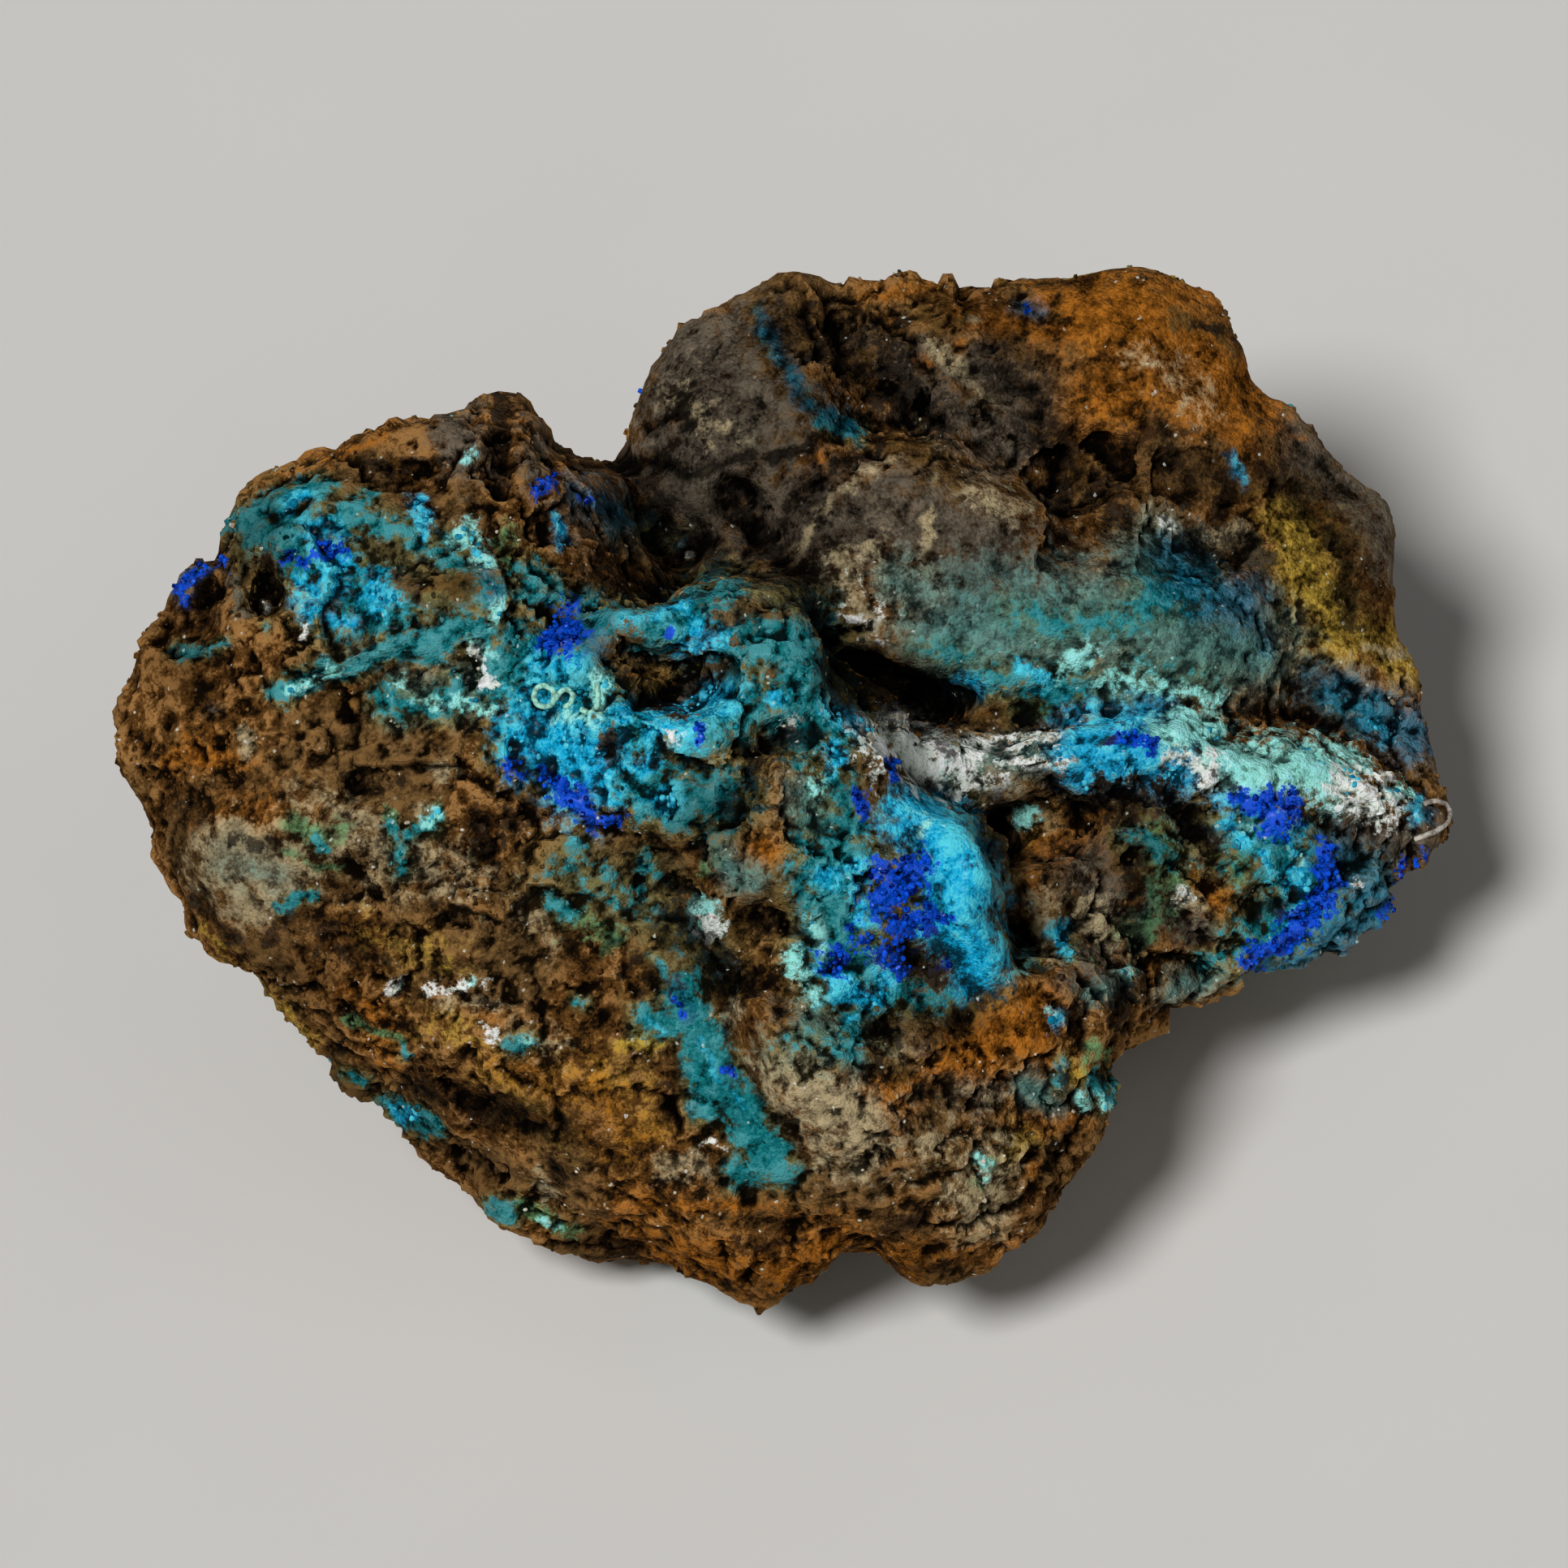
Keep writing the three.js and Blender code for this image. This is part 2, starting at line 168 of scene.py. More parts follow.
# Hollows of the show face: half width in picture pixels, depth in mm, then the line they follow.
HOLLOWS = {
    "crack through the top of the left lobe": (15, 4.5, (618, 492), (616, 540), (620, 596)),
    "hollow under the left top": (20, 1.61, (452, 566), (500, 578), (530, 572)),
    "red cavity": (19, 1.61, (330, 690), (326, 750)),
    "left rim hollow": (14, 1.24, (252, 725), (250, 755)),
    "left rim hole": (9, 0.87, (226, 772)),
    "left crust crack": (8, 0.74, (372, 632), (398, 648)),
    "left block shadow": (10, 0.74, (474, 688), (500, 700)),
    "small black cavity": (10, 0.99, (405, 840)),
    "orange cavity": (15, 1.24, (428, 858), (436, 882)),
    "left pinhole": (8, 0.74, (495, 965)),
    "left pits": (12, 0.74, (425, 955), (455, 968)),
    "left deep pits": (15, 1.18, (596, 1010), (606, 1046)),
    "left shallow pits": (17, 0.81, (625, 1010), (648, 995)),
    "inclusion undercut": (8, 1.12, (318, 1162), (344, 1134), (382, 1124)),
    "inclusion outer groove": (11, 0.87, (246, 1100), (268, 1128), (282, 1150)),
    "low left pit": (12, 0.87, (414, 1148)),
    "low left pit two": (12, 0.62, (530, 1122), (555, 1128)),
    "low left pit three": (13, 0.81, (420, 1290)),
    "low left ledge": (13, 0.99, (500, 1338), (560, 1350), (612, 1368), (690, 1390)),
    "low ledge end": (12, 0.81, (676, 1430), (690, 1450)),
    "bottom edge notch": (16, 1.61, (752, 1534), (778, 1540)),
    "bottom edge gap": (14, 1.49, (1040, 1560), (1070, 1570)),
    "bottom crease": (12, 0.81, (910, 1530), (970, 1528)),
    "bottom crease right": (13, 0.99, (1090, 1516), (1125, 1505)),
    "bottom right gap": (12, 1.12, (1160, 1560), (1175, 1570)),
    "central cavity": (33, 3.4, (772, 822), (806, 838), (836, 842)),
    "central cavity floor": (15, 4.2, (780, 858), (826, 862)),
    "centre pinhole": (11, 1.12, (760, 922)),
    "centre crevice": (18, 3.4, (992, 904), (932, 930), (906, 992)),
    "nose slot": (13, 2.2, (848, 1140), (888, 1186), (926, 1216)),
    "red pit": (27, 1.61, (925, 1140), (950, 1142)),
    "brown pit in the slab": (28, 1.12, (1116, 1176), (1144, 1192)),
    "streak hole": (7, 0.99, (773, 1275)),
    "under the boulder": (24, 2.2, (1058, 838), (1110, 852), (1172, 866)),
    "right of the slab": (16, 1.8, (1226, 1010), (1252, 1085), (1238, 1125), (1266, 1200)),
    "dome crevice": (18, 2.0, (905, 604), (936, 650), (962, 694)),
    "dome seam": (6, 0.62, (800, 562), (850, 580), (950, 562), (1005, 540)),
    "dome upper seam": (5, 0.5, (800, 530), (840, 502), (872, 480)),
    "crag pit": (20, 1.61, (1028, 395), (1042, 455)),
    "crag pit two": (24, 1.61, (1098, 485), (1152, 520)),
    "crag pit three": (12, 0.99, (1100, 400)),
    "cap cleft": (13, 0.5, (1308, 522), (1318, 570), (1306, 632)),
    "cap cleft two": (13, 0.45, (1350, 592), (1372, 628)),
    "cap cleft three": (15, 1.0, (1428, 530), (1436, 572)),
    "cap hole": (13, 1.36, (1456, 615)),
    "cap hole two": (11, 1.24, (1505, 592)),
    "cap hole three": (10, 1.24, (1506, 635)),
    "cap hole four": (11, 1.24, (1570, 596)),
    "wash hole": (6, 0.74, (1346, 711)),
    "ochre hole": (10, 0.99, (1570, 780)),
    "right pit": (22, 2.2, (1222, 1004), (1236, 1036)),
    "right pit under the vein": (20, 1.74, (1290, 968), (1360, 976), (1444, 968)),
    "right pit low": (24, 1.36, (1236, 1096), (1246, 1122)),
    "right lobe pit": (16, 1.24, (1446, 990), (1496, 1030)),
    "right lobe groove": (11, 1.12, (1398, 1050), (1394, 1120), (1402, 1180)),
    "right lobe low groove": (14, 1.24, (1388, 1215), (1378, 1262)),
    "right lobe dark": (14, 0.87, (1560, 1120), (1590, 1118)),
    "low right hole": (22, 1.61, (1072, 1262), (1098, 1274)),
    "low right hole two": (14, 1.61, (1186, 1256)),
    "low right hole three": (14, 0.99, (1088, 1316)),
    "low right hollow": (18, 1.05, (1144, 1348), (1166, 1338)),
    "low right cavity": (18, 1.36, (1326, 1262)),
    "low right slot": (7, 1.36, (1312, 1310), (1313, 1364)),
    "low right groove": (11, 0.87, (1320, 1398), (1292, 1420)),
    "saddle": (44, 2.2, (700, 640), (780, 665), (870, 690)),
    "slab crown": (46, 1.3, (1150, 1040), (1172, 1090), (1170, 1140)),
    "face edge": (11, 1.2, (930, 700), (975, 630), (1030, 575), (1085, 545)),
}

# Parts of the show face that stand proud: half width in pixels, height in mm, then the line.
RIDGES = {
    "turquoise crest": (16, 1.5, (738, 758), (780, 772), (850, 742), (898, 724), (970, 742)),
    "turquoise crest right": (13, 1.2, (1044, 862), (1102, 922)),
    "crust below the cavity": (22, 1.2, (700, 900), (760, 885), (840, 900), (900, 880)),
    "inclusion": (58, 1.0, (280, 1070), (345, 1085)),
    "vein left": (30, 2.4, (1100, 922), (1180, 942), (1300, 932)),
    "vein middle": (26, 1.4, (1350, 915), (1440, 910), (1500, 935)),
    "vein right": (26, 1.4, (1540, 950), (1640, 965), (1725, 990)),
    "nose": (44, 1.2, (945, 990), (955, 1060)),
    "teal streak": (26, 0.7, (838, 1190), (866, 1270), (905, 1350), (950, 1435)),
    "white crystal": (18, 1.0, (872, 1120), (872, 1150)),
    "left tongue": (13, 0.7, (345, 855), (440, 815), (540, 800), (595, 768)),
    "left mint ridge": (14, 0.8, (560, 650), (598, 690), (612, 740)),
    "grey rib": (11, 0.8, (286, 712), (298, 760)),
    "pebble": (18, 0.9, (260, 878)),
    "brown block": (46, 1.1, (500, 720), (585, 720)),
    "sparkling block": (60, 0.9, (985, 1330), (1050, 1380)),
    "right lobe arc": (16, 0.7, (1640, 1040), (1630, 1120), (1550, 1178)),
    "gold patch": (34, 0.7, (1245, 1230), (1262, 1280)),
    "strut in the pit": (6, 0.9, (1166, 1246), (1164, 1276)),
    "slab edge": (26, 1.8, (1178, 1030), (1204, 1085), (1196, 1125), (1218, 1190)),
    "vein left end": (32, 5.5, (1122, 914), (1165, 937)),
    "cap bowl": (56, 1.8, (1325, 588), (1368, 600)),
    "right pit ground": (56, 2.6, (1280, 1030), (1275, 1090), (1290, 1150)),
}

# The rim of the left lobe over the lower ground to its right, from the crest to the slab. In pixels: how
# wide the slope below it is, how far out the ground is drawn in, and how far from its ends the rim fades.
# The last value is the share of the slope's width that stays in sight.
RIM = (
    (736, 750), (797, 758), (879, 721), (929, 733), (986, 742), (1003, 787), (1011, 836), (1060, 885),
    (1093, 927), (1115, 965), (1150, 992), (1195, 1010), (1222, 1085), (1214, 1112), (1240, 1200),
    (1290, 1240),
)
SLOPE_WIDTH = 60.0
SLOPE_REACH = 140.0
RIM_FADE = 90.0
SLOPE_LEFT = 0.12

# Parts of the outline that stand out or draw in: half width in pixels, height in mm, then the line.
OUTLINE = {
    "top of the boulder": (44, 0.9, (990, 352), (1040, 340), (1090, 345)),
    "right of the boulder": (44, 0.5, (1600, 520), (1643, 564), (1690, 620)),
    "top of the left lobe": (50, -0.55, (291, 626), (380, 557), (482, 516), (586, 494)),
    "corner of the left lobe": (30, -0.6, (690, 540), (710, 560)),
    "foot of the right lobe": (46, -0.65, (1375, 1323), (1432, 1257), (1519, 1210)),
    "bottom right": (40, 0.5, (1120, 1574), (1220, 1556)),
    "left end": (48, 0.85, (150, 880), (156, 960)),
}

# Parts of the show face with a smoother skin: half width in pixels, strength, then the line.
SMOOTH_PLACES = {
    "dome": (95, 1.05, (860, 440), (900, 540), (860, 590)),
    "face": (90, 1.0, (990, 640), (1120, 660), (1230, 690)),
    "wash": (90, 1.0, (1180, 770), (1320, 760), (1450, 780)),
    "cap": (110, 1.2, (1370, 390), (1450, 420), (1500, 480)),
    "cap flank": (60, 0.9, (1430, 500), (1540, 560)),
    "boulder rim": (60, 1.1, (1580, 540), (1680, 620), (1710, 740)),
    "ochre": (60, 0.9, (1590, 680), (1640, 790)),
    "teal streak": (40, 1.2, (838, 1190), (866, 1270), (905, 1350), (950, 1435)),
    "sky slab": (60, 1.2, (1150, 1000), (1175, 1070), (1170, 1150), (1195, 1180)),
    "inclusion": (58, 1.15, (282, 1068), (345, 1085)),
    "vein": (36, 0.6, (1350, 915), (1500, 935), (1640, 965)),
    "low golden face": (80, 0.8, (690, 1330), (790, 1370)),
}

# Raised mint threads on the turquoise crust, and the thin pale rim of the right tip, as lines in the
# picture, and the step in pixels by which they are laid on the stone.
MINT_THREADS = {
    "ring": (
        (658, 858), (661, 848), (670, 844), (680, 847), (685, 856), (682, 866), (673, 871), (662, 868),
        (658, 858),
    ),
    "curl": ((684, 862), (692, 850), (702, 848), (708, 857), (704, 868), (696, 872)),
    "bar": ((716, 874), (728, 880), (736, 872), (738, 856), (735, 840)),
}
PALE_RIM = (
    (1744, 1034), (1758, 1029), (1772, 1022), (1782, 1013), (1786, 1001), (1780, 991), (1768, 987),
    (1754, 991),
)
THREAD_STEP = 4.0

# How far a thread's middle stands off the stone as a share of its thickness, how dim its darkest specks
# are, and how many pixels beside the outline the stone is looked for.
THREAD_LIFT = 0.2
THREAD_DIM = 0.45
OUTLINE_SEARCH = 60

# Parts of the show face darkened all over with painted shade, where they lie in shadow: half width in
# pixels, strength, then the line.
PAINTED_SHADE_PLACES = {
    "saddle": (60, 0.4, (690, 620), (780, 640), (860, 690)),
    "dome foot": (40, 0.8, (790, 600), (930, 640)),
    "crags": (80, 0.5, (1020, 430), (1140, 480), (1280, 520)),
    "cap foot": (50, 0.6, (1320, 580), (1440, 580), (1540, 620)),
    "under the boulder": (40, 0.8, (1030, 800), (1130, 848)),
    "right edge": (40, 0.7, (1660, 640), (1700, 760)),
    "right pit": (60, 0.45, (1230, 1010), (1330, 1000), (1420, 990)),
    "right lobe": (50, 0.7, (1410, 1050), (1430, 1150)),
    "left rim": (46, 0.8, (215, 760), (235, 830)),
    "left low rim": (36, 0.6, (200, 1000), (250, 1120), (300, 1180)),
    "bottom rim": (40, 0.75, (700, 1540), (900, 1590), (1050, 1570), (1200, 1570)),
    "low left rim": (34, 0.7, (400, 1310), (520, 1400), (600, 1460)),
    "nose": (34, 0.7, (850, 1150), (900, 1200)),
    "centre low": (50, 0.75, (872, 1000), (840, 1080)),
    "low ledge": (40, 0.6, (520, 1340), (700, 1400)),
    "low right": (40, 0.6, (1080, 1270), (1200, 1260)),
    "low right rim": (40, 0.6, (1300, 1430), (1270, 1500)),
    "crest wall": (26, 0.85, (1000, 745), (1034, 806), (1056, 872)),
    "left upper edge": (40, 0.8, (296, 664), (330, 642)),
    "crest left": (36, 0.75, (712, 708), (800, 724)),
    "low left brown": (50, 0.75, (350, 1200), (412, 1222)),
    "seam": (30, 0.75, (950, 400), (985, 470), (1020, 510)),
    "face left": (56, 0.6, (970, 560), (1000, 600), (1000, 660)),
    "crag top": (34, 0.75, (1180, 378), (1235, 385)),
    "boulder rim": (40, 0.6, (1600, 560), (1640, 610)),
    "slab low": (30, 0.5, (1210, 1110), (1215, 1165)),
    "face top": (44, 0.6, (1270, 650), (1370, 655)),
    "face right": (40, 0.5, (1190, 720), (1230, 730)),
    "streak": (26, 0.3, (860, 1270), (910, 1380)),
    "slab cluster": (20, 0.3, (1150, 1120), (1170, 1150)),
    "inclusion rim": (24, 0.5, (222, 1010), (236, 1060), (262, 1120)),
    "vein right": (26, 0.28, (1600, 940), (1650, 960)),
    "right lobe left": (40, 0.3, (1540, 1055), (1570, 1085)),
    "left of the cavity": (30, 0.35, (712, 785), (735, 805)),
    "streak head": (30, 0.35, (780, 1200), (815, 1220)),
    "crest top": (30, 0.4, (800, 720), (870, 712)),
    "centre middle": (34, 0.35, (850, 930), (876, 1000)),
}

# Where each mineral shows on the face: half width in pixels, strength, then the line.
RUST = {
    "cap of the boulder": (66, 1.0, (1352, 385), (1420, 400), (1480, 440), (1512, 480)),
    "cap below": (50, 0.95, (1370, 480), (1420, 470), (1482, 500)),
    "cap flank": (34, 0.8, (1505, 520), (1540, 560)),
    "cap left edge": (24, 0.75, (1180, 395), (1250, 395), (1315, 410)),
    "top rim": (14, 0.65, (1050, 362), (1150, 362)),
    "crag fleck": (11, 0.95, (1180, 430)),
    "crag fleck two": (10, 0.9, (1135, 452)),
    "crag red": (14, 0.7, (1010, 560)),
    "centre fleck": (20, 0.95, (895, 757), (930, 752)),
    "nose": (16, 0.8, (930, 1036), (972, 1046)),
    "left rim": (24, 0.7, (215, 930), (290, 937)),
    "left rim low": (24, 0.7, (252, 1006), (322, 1000)),
    "left rim upper": (16, 0.5, (300, 602), (430, 553), (480, 518)),
    "left cavity": (13, 0.9, (432, 860)),
    "left fleck": (9, 1.0, (510, 768)),
    "left fleck two": (8, 1.0, (420, 735)),
    "inclusion foot": (14, 0.8, (292, 1138), (326, 1148)),
    "low left": (24, 0.55, (425, 1226), (450, 1240), (484, 1272)),
    "low left two": (26, 0.5, (455, 1285), (480, 1310)),
    "low middle": (26, 0.5, (600, 1250), (662, 1262)),
    "bottom ridge": (46, 0.68, (770, 1520), (870, 1555), (960, 1565), (1020, 1530)),
    "bottom ridge right": (38, 0.7, (1080, 1540), (1150, 1545), (1225, 1535)),
    "bottom flank": (32, 0.55, (790, 1470), (860, 1490), (960, 1480)),
    "gold patch": (38, 0.95, (1235, 1235), (1268, 1268), (1200, 1292)),
    "gold seam": (24, 0.95, (1085, 1350), (1125, 1340), (1185, 1300)),
    "right pit": (34, 0.7, (1250, 962), (1290, 1000), (1290, 1050), (1345, 1000)),
    "right pit low": (14, 0.95, (1272, 1090), (1282, 1132)),
    "right lobe fleck": (15, 0.95, (1470, 1075), (1502, 1112)),
    "low right wall": (20, 0.7, (1330, 1375), (1280, 1385)),
    "low right wall two": (16, 0.8, (1262, 1470), (1268, 1440)),
    "central cavity": (22, 0.7, (775, 812), (825, 828)),
    "golden face": (70, 0.45, (640, 1310), (720, 1340), (800, 1400)),
}
OCHRE = {
    "boulder": (42, 0.92, (1595, 655), (1618, 720), (1636, 785)),
    "boulder inner": (28, 0.75, (1580, 700), (1585, 750)),
    "right edge": (34, 0.8, (1664, 775), (1735, 812)),
    "low golden face": (72, 0.4, (680, 1320), (760, 1340), (800, 1390)),
    "low golden face left": (52, 0.36, (610, 1330), (690, 1400)),
    "left low": (48, 0.38, (450, 1150), (550, 1185)),
    "left low two": (40, 0.38, (520, 1250), (600, 1290)),
    "left rim low": (18, 0.5, (250, 1145), (280, 1180), (350, 1240), (385, 1290)),
    "low right": (14, 0.85, (1332, 1315), (1330, 1330)),
    "streak edge": (8, 1.0, (772, 1290), (812, 1285)),
    "low right seam": (26, 0.6, (1240, 1430), (1262, 1400)),
    "cavity glow": (20, 0.7, (1280, 1030), (1300, 990)),
}
GREY = {
    "dome": (92, 1.0, (850, 440), (905, 520), (860, 590)),
    "face": (74, 0.95, (960, 640), (1050, 640), (1150, 645), (1225, 680)),
    "face left": (60, 0.9, (990, 620), (1020, 690)),
    "top block": (40, 0.85, (560, 520), (575, 565)),
    "top block right": (34, 0.7, (655, 530), (668, 580)),
    "saddle": (40, 0.7, (700, 640), (790, 660), (860, 670)),
    "crags": (54, 0.85, (1210, 450), (1260, 500), (1230, 560)),
    "crag swirl": (16, 0.9, (1060, 420)),
    "right rim": (34, 0.85, (1620, 560), (1690, 620), (1705, 690)),
    "cap grey": (18, 0.8, (1460, 400)),
    "cap grey two": (16, 0.8, (1540, 440)),
    "right edge": (38, 1.0, (1640, 1018), (1690, 1030), (1735, 1040)),
    "grey pink": (44, 0.85, (1330, 1060), (1355, 1140), (1340, 1200)),
    "right lobe pale": (30, 0.85, (1450, 1130), (1490, 1150)),
    "strip by the slab": (13, 0.95, (1092, 965), (1096, 1050)),
    "slab edge": (16, 0.9, (1220, 1120), (1232, 1160)),
    "sparkling block": (64, 0.9, (980, 1310), (1050, 1380)),
    "hollow grey": (26, 0.9, (1180, 1330), (1210, 1350)),
    "left rib": (10, 0.9, (286, 712), (298, 760)),
    "pebble": (13, 0.9, (260, 878)),
    "cavity wall": (13, 0.8, (1140, 1290)),
    "cap bump": (30, 0.95, (1596, 530), (1612, 572)),
    "block in the saddle": (26, 0.8, (835, 610), (800, 640)),
    "crag face": (32, 0.8, (1130, 440), (1175, 462)),
    "crags middle": (44, 0.85, (1110, 460), (1180, 520), (1260, 540)),
}
PALE = {
    "inclusion": (36, 1.08, (284, 1056), (345, 1078)),
    "inclusion foot": (22, 1.0, (296, 1108), (312, 1128)),
    "left rim": (10, 0.8, (300, 905), (302, 932)),
    "left spot": (17, 0.9, (548, 952)),
    "left spot two": (11, 0.85, (530, 1000)),
    "left tongue end": (9, 0.9, (340, 850)),
    "face line": (8, 0.85, (1146, 628), (1146, 690), (1126, 736)),
    "face tan": (16, 0.85, (1040, 690), (1052, 730), (1066, 770)),
    "face spot": (13, 0.9, (1060, 786)),
    "face right": (26, 0.6, (1190, 600), (1260, 630)),
    "crag spot": (12, 0.95, (1146, 436), (1172, 452)),
    # Partly pale rock and partly a painted highlight on the lit top of the cap.
    "cap pink": (44, 0.5, (1400, 440), (1450, 470), (1480, 500)),
    "cap sugar": (15, 0.95, (1424, 632), (1448, 655)),
    "cap sugar two": (18, 0.9, (1462, 668), (1520, 656), (1540, 676)),
    "ochre cream": (9, 0.9, (1520, 716)),
    "ochre cream two": (12, 0.7, (1682, 795), (1732, 802)),
    "right lobe": (14, 0.9, (1456, 1102), (1468, 1112)),
    "right edge specks": (14, 0.8, (1660, 1088), (1700, 1084)),
    "low right": (40, 0.85, (1215, 1440), (1205, 1500)),
    "low right two": (17, 0.8, (1240, 1400)),
    "low right grain": (10, 0.95, (1222, 1520)),
    "low middle grain": (10, 0.95, (1062, 1440)),
    "low middle grain two": (12, 0.8, (1020, 1425)),
    "lower left rim": (9, 0.75, (660, 1445), (672, 1470)),
    "below the streak": (26, 0.7, (820, 1430), (860, 1440)),
    "streak flank": (20, 0.6, (905, 1235), (890, 1250)),
    "low grains": (22, 0.6, (540, 1230), (620, 1235)),
    "sparkling block": (56, 0.8, (980, 1330), (1050, 1390)),
    "sparkling block low": (60, 0.5, (1010, 1420), (1160, 1410)),
    "crag spot two": (7, 0.9, (1205, 392)),
    "crag line": (6, 0.85, (1128, 512), (1150, 545), (1146, 590)),
    "vein left": (24, 0.9, (1096, 912), (1150, 950), (1205, 968)),
    "left middle": (64, 0.58, (390, 1010), (480, 1060), (580, 1075)),
    "middle": (46, 0.48, (640, 1120), (676, 1150)),
    "low middle": (44, 0.5, (640, 1270), (680, 1290)),
    "low right three": (40, 0.45, (1120, 1345), (1170, 1340), (1230, 1350)),
    "boulder foot left": (22, 0.78, (1034, 690), (1052, 730), (1078, 772)),
    "left druse": (28, 0.7, (430, 790), (470, 800)),
    "tail": (36, 0.7, (1050, 1270), (1100, 1292)),
    # Painted light: the pale on the slab's flank brightens ground that lies in the slab's shadow.
    "slab flank": (30, 0.75, (1275, 1110), (1290, 1165)),
    "right pit": (36, 0.62, (1262, 985), (1290, 1010)),
    "dome": (56, 0.44, (845, 490), (880, 530)),
    "right pit low": (40, 0.6, (1330, 1130), (1366, 1152)),
    "cap sugar left": (30, 0.62, (1396, 648), (1432, 662)),
    "right edge stain": (34, 0.5, (1600, 860), (1640, 866)),
    "boulder foot left two": (26, 0.6, (1080, 680), (1110, 730)),
    "crags middle": (26, 0.5, (1180, 450), (1230, 500)),
    "face foot": (30, 0.62, (1118, 712), (1150, 736)),
    "face edge": (11, 0.6, (955, 712), (1000, 645), (1052, 592), (1110, 562)),
}
EARTH = {
    "central cavity": (26, 1.0, (766, 808), (796, 838), (832, 848)),
    "central cavity foot": (12, 0.9, (752, 905), (756, 930)),
    "crest end": (17, 0.85, (895, 752), (930, 748), (968, 752)),
    "crest spot": (9, 0.9, (910, 790)),
    "crest spot two": (8, 0.9, (948, 832), (962, 826)),
    "red cavity": (20, 0.95, (330, 695), (326, 745)),
    "left block": (24, 0.8, (500, 725), (570, 720)),
    "orange cavity": (17, 0.9, (430, 862)),
    "red pit": (25, 1.0, (922, 1142), (952, 1142)),
    "slab pit": (24, 1.05, (1112, 1172), (1142, 1192)),
    "right pit": (34, 0.8, (1290, 985), (1380, 985), (1440, 980)),
    "right lobe": (17, 0.85, (1455, 1000), (1490, 1040)),
    "gold seam": (16, 0.8, (1075, 1290), (1110, 1320)),
    "cap top": (20, 0.8, (1448, 392), (1500, 402), (1520, 430)),
    "crag": (26, 0.7, (1130, 380), (1180, 400)),
    "crag low": (22, 0.75, (1100, 545), (1170, 580)),
    "under the boulder": (20, 0.8, (1090, 876), (1180, 890), (1240, 884)),
    "cavity tongue": (9, 0.85, (842, 838), (900, 818)),
    "vein streak": (9, 0.75, (1196, 952), (1216, 925)),
    "vein streak two": (9, 0.72, (1238, 960), (1252, 932)),
    "streak head": (20, 0.7, (778, 1195), (800, 1212)),
    "streak head two": (16, 0.7, (770, 1225), (800, 1228)),
}
